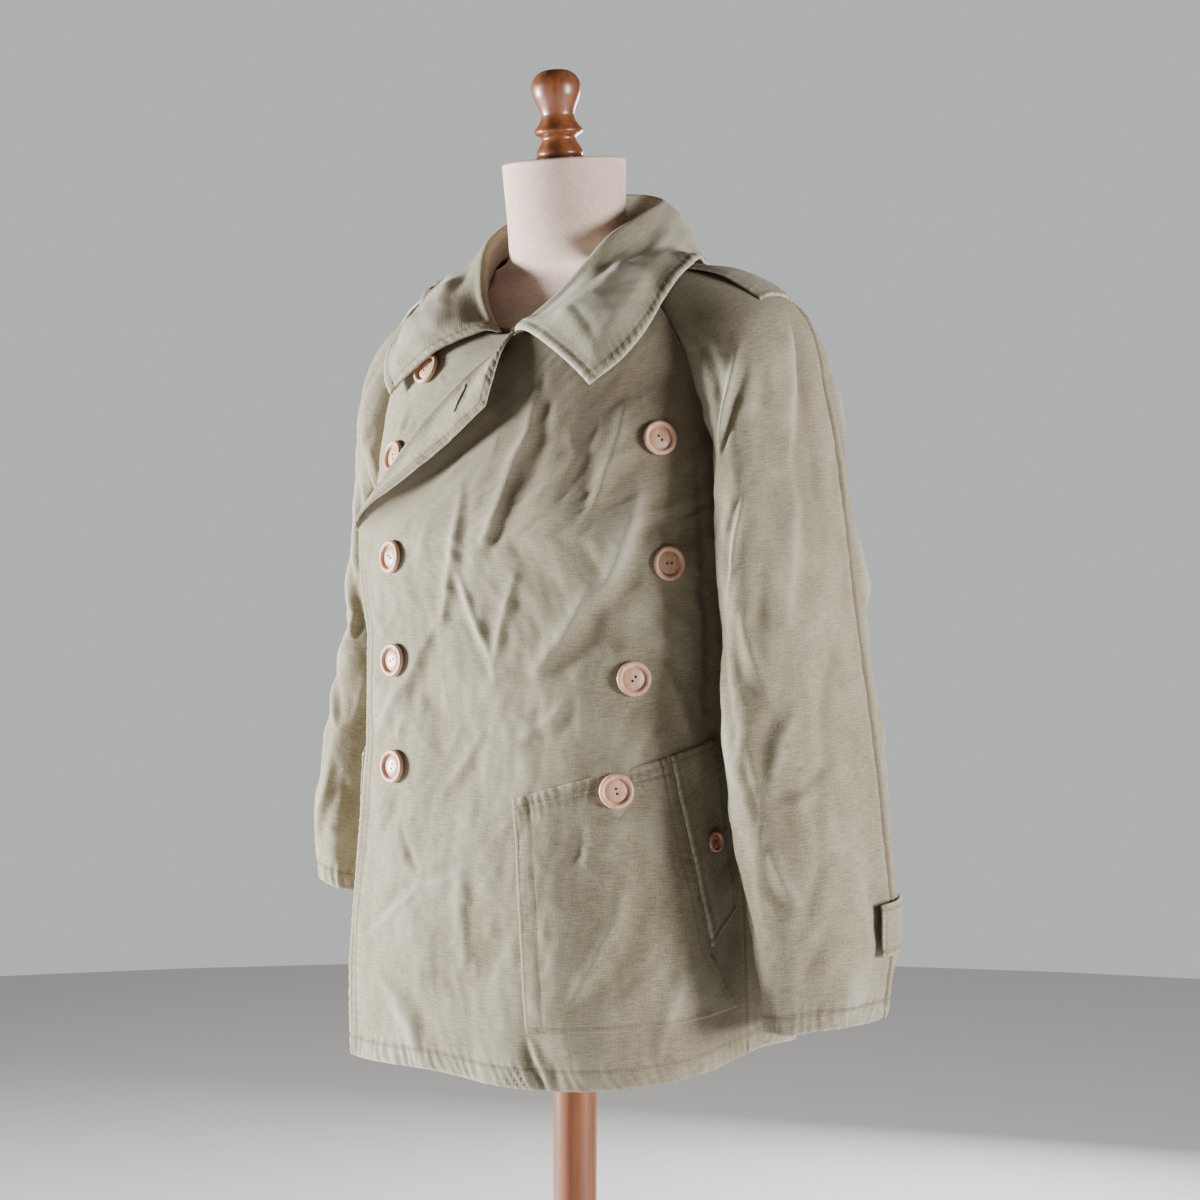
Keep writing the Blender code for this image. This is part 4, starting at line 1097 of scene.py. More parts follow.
class Panel:
    """A front or the back: a grid between two edges, each given by an angle at every level."""

    def __init__(self, name: str, edges: tuple[Any, Any], stand_off: Any, spacing: Point, seed: int,
                 sleeves: tuple[Sleeve | None, Sleeve | None], columns: tuple[str, str]) -> None:
        """Lay the grid.

        Args:
            name: of the piece.
            edges: functions of the level giving the angles of the first and the last column.
            stand_off: function of angle and level giving the lift off the body.
            spacing: distance of the grid's places, across and up.
            seed: of the crumpling.
            sleeves: the sleeves sewn to the first and the last column, if any.
            columns: names of the seams there.
        """
        self.edges = edges
        dense = np.linspace(0, LEVEL_NECK, 401)
        heights = BodyShape.point(40.0, dense)[:, 2]
        rows = odd(heights[-1] - heights[0], spacing[1])
        self.levels = np.interp(np.linspace(heights[0], heights[-1], rows), heights, dense)
        middle = 4.0
        angles = np.linspace(float(edges[0](middle)), float(edges[1](middle)), 201)
        line = BodyShape.point(angles, middle)
        self.shares = even_places(line, odd(run_along(line)[-1], spacing[0]))
        first, last = (edge(self.levels)[:, None] for edge in edges)
        self.angles = first + (last - first) * self.shares
        levels = self.levels[:, None]
        normals = BodyShape.normal(self.angles, levels)
        base = BodyShape.point(self.angles, levels) + normals * stand_off(self.angles, levels)[..., None]
        for end, sleeve, column in zip((0, -1), sleeves, columns):
            if sleeve is not None:
                self.lean(normals, end, sleeve, column)
        self.cloth = Cloth(name, base, normals, CLOTH, seed)

    def lean(self, normals: Array, end: int, sleeve: Sleeve, column: str) -> None:
        """Turn the normals beside a raglan seam to those of its sleeve."""
        above = self.levels >= LEVEL_ARMPIT
        part = sleeve.SEAM_SHARE + (LEVEL_NECK - self.levels) / (LEVEL_NECK - LEVEL_ARMPIT) * (
            0.5 - sleeve.SEAM_SHARE)
        shared = sleeve.seam_normal(np.clip(part if column == "front_seam" else 1 - part, 0, 1))
        for step, share in enumerate((1.0, 0.7, 0.35, 0.12)):
            place = step if end == 0 else -1 - step
            mixed = unit(normals[:, place] * (1 - share) + shared * share)
            normals[above, place] = mixed[above]

    def place_of(self, angle: Array, level: Array) -> tuple[Array, Array]:
        """Fractional rows and columns of angles and levels."""
        row = np.interp(level, self.levels, np.arange(len(self.levels)))
        first, last = self.edges[0](level), self.edges[1](level)
        column = np.interp((angle - first) / (last - first), self.shares,
                           np.arange(len(self.shares)))
        return row, column

    def relief_at(self, angle: Array, level: Array) -> Array:
        """Relief of the panel at angles and levels."""
        row, column = self.place_of(angle, level)
        i = np.clip(np.round(row).astype(int), 0, len(self.levels) - 1)
        j = np.clip(np.round(column).astype(int), 0, len(self.shares) - 1)
        return self.cloth.relief[i, j]

    def flat(self) -> tuple[Array, Array]:
        """Flat places of the grid, across from the centre front and up from the floor."""
        return self.angles * BODY_ARC, self.cloth.base[..., 2]


def folds_at(*rows: Sequence[float], scale: Point = (BODY_ARC, 1.0)) -> list[Fold]:
    """Main folds of one piece.

    Args:
        rows: each a start and an end in the piece's own places across and up, then bow, width and
            height in mm, and lee.
        scale: metres of cloth for one such place, across and up.

    Returns:
        The folds.
    """
    return [Fold((a * scale[0], b * scale[1]), (c * scale[0], d * scale[1]), bow / 1000,
                 CREASE_WIDTH * width / 1000, CREASE_HEIGHT * height / 1000, lee)
            for a, b, c, d, bow, width, height, lee in rows]


FRONT_FOLDS = folds_at(
    (27, 1.298, 5, 1.150, 6, 11, 4.2, 0.8), (21, 1.245, 10, 1.150, 4, 9, -3.0, 0.0),
    (-3, 1.215, -11, 1.075, 4, 9, 3.4, 0.5), (-10, 1.095, -38, 0.975, -6, 9, 3.2, 0.5),
    (45, 1.270, 33, 1.190, 4, 9, -3.2, 0.0), (53, 1.285, 39, 1.170, 5, 8, 3.2, -0.4),
    (56, 1.215, 41, 1.100, 7, 12, 5.0, 0.8), (43, 1.125, 25, 1.045, 5, 11, 4.2, 0.8),
    (-6, 1.145, 14, 1.040, 5, 7, 3.0, -0.5), (21, 1.140, 13, 1.055, -3, 7, 2.6, 0.4),
    (38, 1.028, 21, 0.992, 3, 8, 2.6, 0.6), (70, 1.180, 62, 1.080, 0, 10, -3.0, 0.0),
    (-12.5, 0.868, -39, 0.805, 4, 6, 2.2, -0.6), (-14, 0.862, 7, 0.882, -3, 5, 1.9, 0.5),
    (-14, 0.866, -24, 0.915, 2, 5, -1.8, 0.3), (51, 0.865, 36, 0.765, 3, 10, 3.4, 0.6),
    (26, 0.742, 32, 0.695, 1, 4, 2.4, -0.8), (-30, 0.780, -12, 0.712, 6, 10, 2.6, 0.5),
    (2, 0.900, 6, 0.770, -5, 12, 2.4, 0.4), (72, 1.240, 76, 1.000, 4, 9, -2.6, 0.0),
    (-22, 1.010, -30, 0.900, 3, 8, -2.2, 0.0), (10, 1.000, -8, 0.945, 4, 8, 2.0, 0.5),
    (60, 1.060, 70, 0.990, 0, 8, 2.0, 0.5), (58, 0.720, 66, 0.800, 4, 9, 2.4, 0.5))
RIGHT_FOLDS = folds_at(
    (-38, 1.280, -52, 1.190, 3, 7, 3.0, 0.5), (-50, 1.310, -62, 1.220, 3, 8, -3.0, 0.0),
    (-60, 1.200, -76, 1.080, 6, 10, 3.6, 0.6), (-55, 1.080, -80, 0.990, -5, 9, 3.0, 0.5),
    (-85, 1.150, -70, 0.990, 4, 10, -3.0, 0.0), (-50, 0.900, -60, 0.760, 3, 10, 3.0, 0.4),
    (-74, 0.830, -66, 0.715, 3, 8, 2.6, 0.5))
BACK_FOLDS = folds_at(
    (120, 1.330, 150, 1.180, 8, 12, 3.6, 0.6), (240, 1.330, 212, 1.190, -8, 12, 3.6, -0.6),
    (104, 1.200, 130, 1.060, 6, 12, 4.0, 0.7), (256, 1.195, 232, 1.050, -6, 12, 4.0, -0.7),
    (150, 1.120, 162, 0.900, 6, 14, 3.2, 0.5), (214, 1.100, 200, 0.880, -5, 14, 3.0, -0.4),
    (176, 1.250, 184, 1.020, 5, 16, -2.6, 0.0), (128, 0.960, 140, 0.760, 5, 12, 3.2, 0.6),
    (236, 0.940, 222, 0.740, -5, 12, 3.4, -0.6), (178, 0.900, 172, 0.712, 4, 12, 2.6, 0.5),
    (100, 1.050, 118, 0.980, 2, 9, -2.8, 0.0), (262, 1.040, 245, 0.985, -2, 9, -2.8, 0.0),
    (160, 1.020, 196, 1.000, 8, 9, 2.0, 0.6))

Corners = tuple[Point, Point, Point, Point]     # top left, top right, bottom right, bottom left
LEFT_POCKET: Corners = ((20.5, 0.941), (61.5, 0.979), (86, 0.757), (25.5, 0.744))
LEFT_CORNER = (73.9, 0.812)      # lower end of the slanted opening
LEFT_FLAP: Corners = ((62.4, 0.979), (79, 0.992), (86, 0.843), (74.8, 0.814))
RIGHT_POCKET: Corners = ((-65, 0.979), (-51, 0.968), (-53, 0.744), (-86, 0.757))
RIGHT_CORNER = (-75.9, 0.812)
CORNER_UP = 0.25                 # how far up a pocket's edge its lower corner stands
RIGHT_FLAP: Corners = ((-79, 0.992), (-66, 0.979), (-76.8, 0.814), (-86, 0.843))

LEFT_BUTTONS = ((-33, 1.148), (-29.5, 1.056), (-27.5, 0.962), (61, 1.249), (62.5, 1.143),
                (53, 1.045))
RIGHT_BUTTONS = ((-33, 1.316), (-39, 1.238))
POCKET_BUTTON = (48.5, 0.951)


RAGLAN_ROW = (0.0062, 0.66, 0.985)      # stitch row's distance from the seam, its start and its end
FRONT_HEM = (0.0008, 0.0007, 0.0095, 0.0007)     # fullness, pucker, pitch and roll of the hem
# heights, and the flat places across of the lapel's free edge there
LAPEL_HOLLOW = ((1.176, 1.2045, 1.230, 1.255, 1.2735, 1.290, 1.318),
                (-0.156, -0.097, -0.047, 0.002, 0.032, 0.034, 0.034))


def seam_strength(up: Array) -> Array:
    """How far a seam is drawn in: fully along the raglan, hardly at all down the side."""
    return 0.25 + 0.75 * smooth((up - 1.12) / 0.04)


def calm_near(places: Sequence[Point], across: Array, up: Array) -> Array:
    """Mask that is nought under buttons and one well away from them."""
    mask = np.ones(across.shape)
    for angle, z in places:
        mask *= smooth((np.hypot(across - angle * BODY_ARC, up - z) - 0.014) / 0.020)
    return mask


def pulls_near(places: Sequence[Point], seed: int) -> list[Fold]:
    """Short tension creases that spring from buttons."""
    random = np.random.default_rng(seed)
    folds = []
    for angle, z in places:
        for _ in range(5):
            turn = random.uniform(0, 2 * math.pi)
            way = np.array([math.cos(turn), math.sin(turn)])
            start = np.array([angle * BODY_ARC, z]) + way * 0.013
            end = start + way * random.uniform(0.018, 0.038)
            folds.append(Fold(tuple(start), tuple(end), 0.001, 0.003, random.uniform(0.5, 1.1) / 1000,
                              random.choice((-0.5, 0.5))))
    return folds


@dataclass
class BodyPanels:
    """The two fronts and the back."""

    spacing_front: Point = (0.0021, 0.0024)
    spacing_right: Point = (0.0030, 0.0030)
    spacing_back: Point = (0.0032, 0.0032)
    hem_depth: float = 0.0165

    def __post_init__(self) -> None:
        """Cut the three panels."""
        self.left = self.cut_left()
        self.right = self.cut_right()
        self.back = self.cut_back()
        for panel in (self.left, self.right, self.back):
            panel.cloth.settle()

    @staticmethod
    def seam_edge(side: int, column: str) -> Any:
        """Edge along the side seam and the raglan seam, half a seam gap inside it."""
        def edge(level: Any) -> Array:
            """Angle of the edge at a level."""
            angle = BodyShape.seam_angle(column, level)
            inset = math.degrees(SEAM_HALF_GAP / BODY_RADIUS)
            angle = angle - inset if column == "front_seam" else angle + inset
            if side > 0:
                return angle
            return -angle if column == "front_seam" else 360 - angle
        return edge

    def cut_left(self) -> Panel:
        """Outer front, from its free edge to the left side and raglan seams."""
        edges = (lambda level: BODY.straight("left_edge", level), self.seam_edge(1, "front_seam"))
        panel = Panel("left_front_cloth", edges, BodyShape.left_lift, self.spacing_front, 11,
                      (None, LEFT_SLEEVE), ("", "front_seam"))
        cloth = panel.cloth
        across, up = panel.flat()
        folds = FRONT_FOLDS + pulls_near(LEFT_BUTTONS, 3)
        folds += small_folds(21, 90, (-0.13, 0.71), (0.27, 1.28), 12, 0.0013)
        calm = calm_near(LEFT_BUTTONS, across, up)
        sides = cloth.edge_mask({Edge.LAST: 0.020, Edge.FIRST: 0.012})
        shoulder = 1 - smooth((up - 1.285) / 0.04)
        lapel = smooth((across - (self.fold_line(up) + 0.050)) / 0.03)
        turned = np.where(up > 1.165, lapel, 1.0)
        cloth.drape(folds, across, up, calm * sides * shoulder * turned,
                    (0.0046, (0.075, 0.115)), (0.0027, (0.028, 0.046)))
        cloth.crumple(0.0010, (0.011, 0.016), calm * sides * turned)
        cloth.flutter(0.0035, 0.055, across, up, 0.09, {Edge.LAST: 0.03})
        from_lapel = across - np.interp(up, *LAPEL_HOLLOW)
        cloth.relief -= 0.0048 * bell(from_lapel - 0.008, 0.020) * smooth((up - 1.17) / 0.03) * shoulder
        # painted shadow: the lapel's cast shadow beside its free edge, painted shade on the upper front
        # under the collar, and on the lower front towards the sleeve
        painted_shadow = (0.70 * bell(np.maximum(from_lapel, 0.0), 0.030) * smooth((up - 1.15) / 0.05)
                   + 0.52 * smooth((up - 1.13) / 0.12)
                   + 0.30 * smooth((across - 0.08) / 0.10) * (1 - smooth((up - 0.78) / 0.08)))
        cloth.painted_shade = np.maximum(cloth.painted_shade, painted_shadow)
        cloth.hem(Edge.BOTTOM, (self.hem_depth,), *FRONT_HEM)
        cloth.hem(Edge.FIRST, (0.0055, 0.0125), 0.0004, 0.0003, 0.009, 0.0006, span=(0.0, 0.62))
        cloth.seam(Edge.LAST, strength=seam_strength(up))
        cloth.hem(Edge.TOP, wear=0.2)
        cloth.rows.append(cloth.line(Edge.LAST, *RAGLAN_ROW))
        return panel

    @staticmethod
    def fold_line(up: Array) -> Array:
        """Flat place across of the front's free edge at heights."""
        levels = np.linspace(0, LEVEL_NECK, 201)
        edge = BODY.straight("left_edge", levels)
        heights = BodyShape.point(edge, levels)[:, 2]
        return np.interp(up, heights, edge * BODY_ARC)

    def cut_right(self) -> Panel:
        """Inner front, from the right seams to its free edge under the lap."""
        edges = (self.seam_edge(-1, "front_seam"), lambda level: BODY.straight("right_edge", level))
        panel = Panel("right_front_cloth", edges, lambda angle, _: 0.0 * angle,
                      self.spacing_right, 12, (RIGHT_SLEEVE, None), ("front_seam", ""))
        cloth = panel.cloth
        across, up = panel.flat()
        folds = RIGHT_FOLDS + pulls_near(RIGHT_BUTTONS, 4)
        folds += small_folds(22, 50, (-0.27, 0.71), (-0.08, 1.30), -10, 0.0012)
        mask = (calm_near(RIGHT_BUTTONS, across, up) * cloth.edge_mask({Edge.FIRST: 0.020})
                * (1 - smooth((up - 1.31) / 0.04)))
        cloth.drape(folds, across, up, mask, (0.0036, (0.07, 0.10)), (0.0017, (0.026, 0.040)))
        covered = smooth((panel.angles - self.left.edges[0](panel.levels)[:, None] + 6) / 4)
        under = np.minimum(self.left.relief_at(panel.angles, panel.levels[:, None]), 0.0) - 0.0004
        cloth.relief = cloth.relief * (1 - covered) + under * covered
        cloth.hem(Edge.BOTTOM, (self.hem_depth,), 0.0006, 0.0005, 0.009, 0.0006)
        cloth.hem(Edge.LAST, (0.0055,), 0.0002, 0.0001, 0.010, 0.0004, wear=0.4)
        cloth.seam(Edge.FIRST, strength=seam_strength(up))
        cloth.rows.append(cloth.line(Edge.FIRST, *RAGLAN_ROW))
        return panel

    def cut_back(self) -> Panel:
        """Back, from the left seams round to the right ones."""
        edges = (self.seam_edge(1, "back_seam"), self.seam_edge(-1, "back_seam"))
        panel = Panel("back_cloth", edges, lambda angle, _: 0.0 * angle, self.spacing_back, 13,
                      (LEFT_SLEEVE, RIGHT_SLEEVE), ("back_seam", "back_seam"))
        cloth = panel.cloth
        across, up = panel.flat()
        mask = cloth.edge_mask({edge: 0.020 for edge in UPRIGHT}) * (1 - smooth((up - 1.34) / 0.04))
        cloth.drape(BACK_FOLDS + small_folds(23, 110, (0.30, 0.72), (0.82, 1.36), 0, 0.0013),
                    across, up, mask, (0.0045, (0.085, 0.14)), (0.0020, (0.030, 0.050)))
        cloth.flutter(0.0040, 0.06, across, up, 0.09, {edge: 0.03 for edge in UPRIGHT})
        cloth.hem(Edge.BOTTOM, (self.hem_depth,), *FRONT_HEM)
        for edge in UPRIGHT:
            cloth.seam(edge, strength=seam_strength(up))
        return panel


# ---- sleeves
def sleeve_folds(*rows: Sequence[float]) -> list[Fold]:
    """Main folds of a sleeve, whose places are shares round it and stations down it."""
    return folds_at(*rows, scale=(SLEEVE_ROUND, -SLEEVE_STEP))


LEFT_ARM_FOLDS = sleeve_folds(
    (0.015, 1.10, 0.075, 2.60, -2, 8, 4.6, -0.7), (0.068, 2.35, 0.118, 4.00, -2, 9, 4.2, -0.6),
    (0.000, 1.15, 0.012, 2.80, 3, 7, -3.8, 0.0), (0.018, 2.50, 0.008, 3.35, -2, 6, -3.0, 0.0),
    (0.190, 2.65, 0.270, 3.60, 2, 6, 3.4, 0.6), (0.145, 1.15, 0.262, 1.95, 2, 8, 5.0, -0.8),
    (0.195, 0.55, 0.250, 1.75, 0, 8, -4.0, 0.0), (0.005, 4.10, 0.066, 4.75, 2, 8, -4.0, 0.0),
    (0.064, 4.60, 0.066, 5.25, 0, 8, -3.6, 0.0), (0.118, 4.65, 0.182, 5.35, 2, 8, 3.6, 0.7),
    (0.062, 5.05, 0.104, 6.05, 3, 8, -3.4, 0.4), (0.098, 5.95, 0.165, 6.95, -3, 8, -3.6, 0.0),
    (0.200, 5.50, 0.060, 5.20, 4, 6, -2.8, 0.5), (0.176, 7.45, 0.100, 6.85, 2, 9, -3.6, 0.0),
    (0.110, 6.95, 0.050, 7.05, 2, 6, -2.8, 0.0), (0.205, 6.00, 0.155, 6.70, 2, 9, 3.4, 0.4),
    (0.225, 3.70, 0.160, 4.60, 3, 9, 3.0, 0.6), (0.150, 3.10, 0.175, 4.30, 3, 10, -2.6, 0.0),
    (0.240, 4.90, 0.215, 5.80, 2, 8, -2.8, 0.0), (0.030, 6.00, 0.010, 7.20, 2, 8, 2.6, 0.5),
    (0.100, 1.60, 0.150, 2.60, 0, 11, -2.2, 0.0), (0.300, 2.00, 0.340, 3.40, 3, 9, 3.0, 0.6),
    (0.320, 3.90, 0.260, 5.00, -3, 9, -3.0, 0.5), (0.340, 5.40, 0.290, 6.90, 3, 9, 3.0, 0.6),
    (0.400, 1.40, 0.420, 3.00, 0, 8, -2.6, 0.5), (0.430, 4.00, 0.380, 5.20, 3, 9, 2.8, 0.5))
RIGHT_ARM_FOLDS = sleeve_folds(
    (0.170, 0.60, 0.240, 1.90, 2, 8, -4.0, 0.0), (0.130, 1.10, 0.200, 2.40, 2, 8, 4.0, 0.6),
    (0.220, 2.20, 0.230, 3.60, 3, 9, 3.4, 0.7), (0.160, 3.30, 0.250, 4.30, 3, 9, 4.0, 0.8),
    (0.260, 3.90, 0.180, 4.90, -3, 9, 3.6, -0.7), (0.150, 4.90, 0.250, 5.60, 4, 8, 3.4, 0.7),
    (0.220, 5.60, 0.160, 6.60, 3, 9, -3.0, 0.5), (0.260, 6.10, 0.200, 7.40, 2, 9, 3.2, 0.6),
    (0.090, 2.00, 0.110, 3.80, 2, 10, -3.0, 0.5), (0.080, 4.30, 0.120, 6.10, -2, 10, 3.0, 0.5),
    (0.310, 1.60, 0.300, 3.30, 3, 9, -3.0, 0.5), (0.330, 3.80, 0.300, 5.60, 3, 9, 3.0, 0.6),
    (0.400, 2.40, 0.380, 4.60, 3, 9, 2.8, 0.5), (0.300, 6.20, 0.340, 7.30, 3, 8, -2.6, 0.5))
BACK_ARM_FOLDS = sleeve_folds(
    (0.880, 0.90, 0.850, 2.60, 3, 9, 3.4, 0.6), (0.800, 1.20, 0.760, 2.40, 3, 9, -3.4, 0.0),
    (0.900, 2.90, 0.820, 4.00, 3, 9, 3.6, 0.7), (0.780, 3.20, 0.860, 4.40, 3, 9, -3.2, 0.5),
    (0.880, 4.60, 0.780, 5.30, 3, 8, 3.6, 0.7), (0.700, 4.00, 0.680, 5.60, 3, 9, 3.2, 0.6),
    (0.840, 5.60, 0.880, 6.70, 3, 9, -3.0, 0.0), (0.740, 5.90, 0.800, 7.20, 3, 9, 3.0, 0.6),
    (0.640, 1.80, 0.620, 3.60, 3, 9, -3.0, 0.5), (0.600, 4.20, 0.640, 6.40, 3, 10, 2.8, 0.5))


@dataclass
class Arm:
    """One sleeve, sewn from a front and a back half."""

    name: str
    tube: Sleeve
    front_folds: list[Fold]
    back_folds: list[Fold]
    seed: int
    spacing: Point = (0.0024, 0.0024)
    stains: tuple[Triple, ...] = ()    # share, station and size
    cuff_depth: float = 0.0165
    strap_start: float = 0.34
    strap_end: float = 0.98

    def __post_init__(self) -> None:
        """Cut both halves."""
        self.halves = [self.cut(True), self.cut(False)]

    def cut(self, front: bool) -> Cloth:
        """Lay the grid of one half, cuff at the bottom and raglan seam at the top."""
        last = float(len(self.tube.rings))
        low, high = (0.0, 0.5) if front else (0.5, 1.0)
        inset = SEAM_HALF_GAP / SLEEVE_ROUND
        station = np.linspace(last, 0.003, odd(last * SLEEVE_STEP, self.spacing[1]))[:, None]
        cut = np.linspace(low + inset, high - inset, odd(SLEEVE_ROUND / 2, self.spacing[0]))[None, :]
        share = self.tube.seam_shift(cut[:, ::self.tube.side], station)
        cloth = Cloth(f"{self.name}_sleeve_{'front' if front else 'back'}_cloth",
                      self.tube.point(share, station), self.tube.normal(share, station), CLOTH,
                      self.seed + (0 if front else 1))
        across, up = share * SLEEVE_ROUND, -station * SLEEVE_STEP + 0.0 * share
        folds = (self.front_folds if front else self.back_folds) + small_folds(
            self.seed + 7, 55, (low * SLEEVE_ROUND, -last * SLEEVE_STEP),
            (high * SLEEVE_ROUND, -0.7 * SLEEVE_STEP), 0, 0.0014)
        mask = cloth.edge_mask({Edge.FIRST: 0.012, Edge.LAST: 0.012, Edge.TOP: 0.030})
        spread = np.abs((share + 0.5) % 1.0 - 0.5)
        mask = mask * np.maximum(smooth((station - 0.9) / 0.7), smooth((spread - 0.10) / 0.10))
        cloth.drape(folds, across, up, mask, (0.0046, (0.06, 0.10)), (0.0027, (0.024, 0.040)),
                    (0.0010, (0.010, 0.015)))
        for middle, place, size in self.stains if front else ():
            away = np.hypot((share - middle) * SLEEVE_ROUND, 1.6 * (station - place) * SLEEVE_STEP)
            cloth.stain = np.maximum(cloth.stain, bell(away, size))
        cloth.flutter(0.0055, 0.036, across, up, 0.07, {edge: 0.02 for edge in UPRIGHT})
        cloth.hem(Edge.BOTTOM, (self.cuff_depth,), 0.0009, 0.0013, 0.0085, 0.0006)
        overarm, underarm = UPRIGHT if front == (self.tube.side > 0) else UPRIGHT[::-1]
        cloth.seam(overarm, ridge=0.0003 if front else 0.0016, pucker=0.0014)
        cloth.seam(underarm)
        cloth.seam(Edge.TOP, ridge=0.0003)
        for row in () if front else (0.0022, 0.0090):
            cloth.rows.append(cloth.line(overarm, row, 0.0, 0.90))
            # painted shade along the over-arm stitch rows
            cloth.paint_shade_line(cloth.from_edge(overarm) - row, STITCH_WIDTH)
        return cloth.settle()

    def band(self, name: str, share: Array, station: Array, lift: Array, seed: int) -> Cloth:
        """Band of folded cloth that stands off the sleeve by a lift."""
        normal = self.tube.normal(share, station)
        base = self.tube.point(share, station) + normal * (CLOTH + STRAP_EASE + lift)[..., None]
        return Cloth(f"{self.name}_{name}_cloth", base, grid_normals(base, normal), FOLDED,
                     self.seed + seed)

    def strap(self) -> Cloth:
        """Shoulder strap along the top of the sleeve, its far end sewn down in a box."""
        along = np.linspace(0, 1, odd(0.11, 0.0022))[None, :]
        across = np.linspace(-1, 1, odd(0.036, 0.0020))[:, None]
        station = self.strap_start + (self.strap_end - self.strap_start) * along + 0.0 * across
        cloth = self.band("shoulder_strap", 0.005 + across * (0.040 + 0.008 * along), station,
                          0.004 * np.sin(np.pi * along) ** 2 + 0.0 * across, 3)
        cloth.crumple(0.0012, (0.02, 0.02), cloth.edge_mask({Edge.LAST: 0.01}))
        for edge in Edge:
            cloth.hem(edge, (0.0045,) if edge is not Edge.FIRST else (), 0.0002, 0.0002, 0.008, 0.0006)
        cloth.rows.append(cloth.line(Edge.LAST, 0.016, 0.14, 0.86))
        return cloth.settle()

    def cuff_strap(self) -> Cloth:
        """Band round the back of the cuff, standing off in a loop at the over-arm seam."""
        along = np.linspace(0, 1, odd(0.115, 0.0022))[None, :]
        station = (len(self.tube.rings) - 1.30
                   + 0.55 * np.linspace(0, 1, odd(0.042, 0.0022)))[:, None]
        cloth = self.band("cuff_strap", (1.00 - 0.30 * along) % 1.0 + 0.0 * station, station,
                          0.0075 * (1 - smooth(along * 2.2)) + 0.0 * station, 4)
        cloth.crumple(0.0014, (0.02, 0.02))
        for edge in Edge:
            cloth.hem(edge, (0.0045,), 0.0002, 0.0002, 0.008, 0.0006)
        return cloth.settle()


# ---- collar, lapel and neck
def soften(grid: Array, passes: int) -> Array:
    """Even out a grid along its columns, its two end columns kept."""
    for _ in range(passes):
        middle = (grid[:, :-2] + 2 * grid[:, 1:-1] + grid[:, 2:]) / 4
        grid = np.concatenate([grid[:, :1], middle, grid[:, -1:]], axis=1)
    return grid


COLLAR_FOLDS = [
    Fold((-0.276, 0.060), (-0.340, 0.122), -0.006, 0.0050, -0.0018),
    Fold((-0.262, 0.066), (-0.322, 0.128), -0.006, 0.0080, 0.0020),
    Fold((-0.210, 0.030), (-0.235, 0.118), 0.004, 0.014, 0.0020, 0.3),
    Fold((-0.120, 0.030), (-0.150, 0.110), 0.003, 0.016, -0.0020),
    Fold((-0.284, 0.120), (-0.262, 0.095), 0.002, 0.005, -0.0020),
    Fold((0.150, 0.040), (0.185, 0.100), 0.004, 0.009, 0.0022, 0.5),
    Fold((0.215, 0.035), (0.238, 0.105), -0.004, 0.009, 0.0020, -0.5),
    Fold((0.275, 0.040), (0.268, 0.110), 0.003, 0.009, -0.0018)]


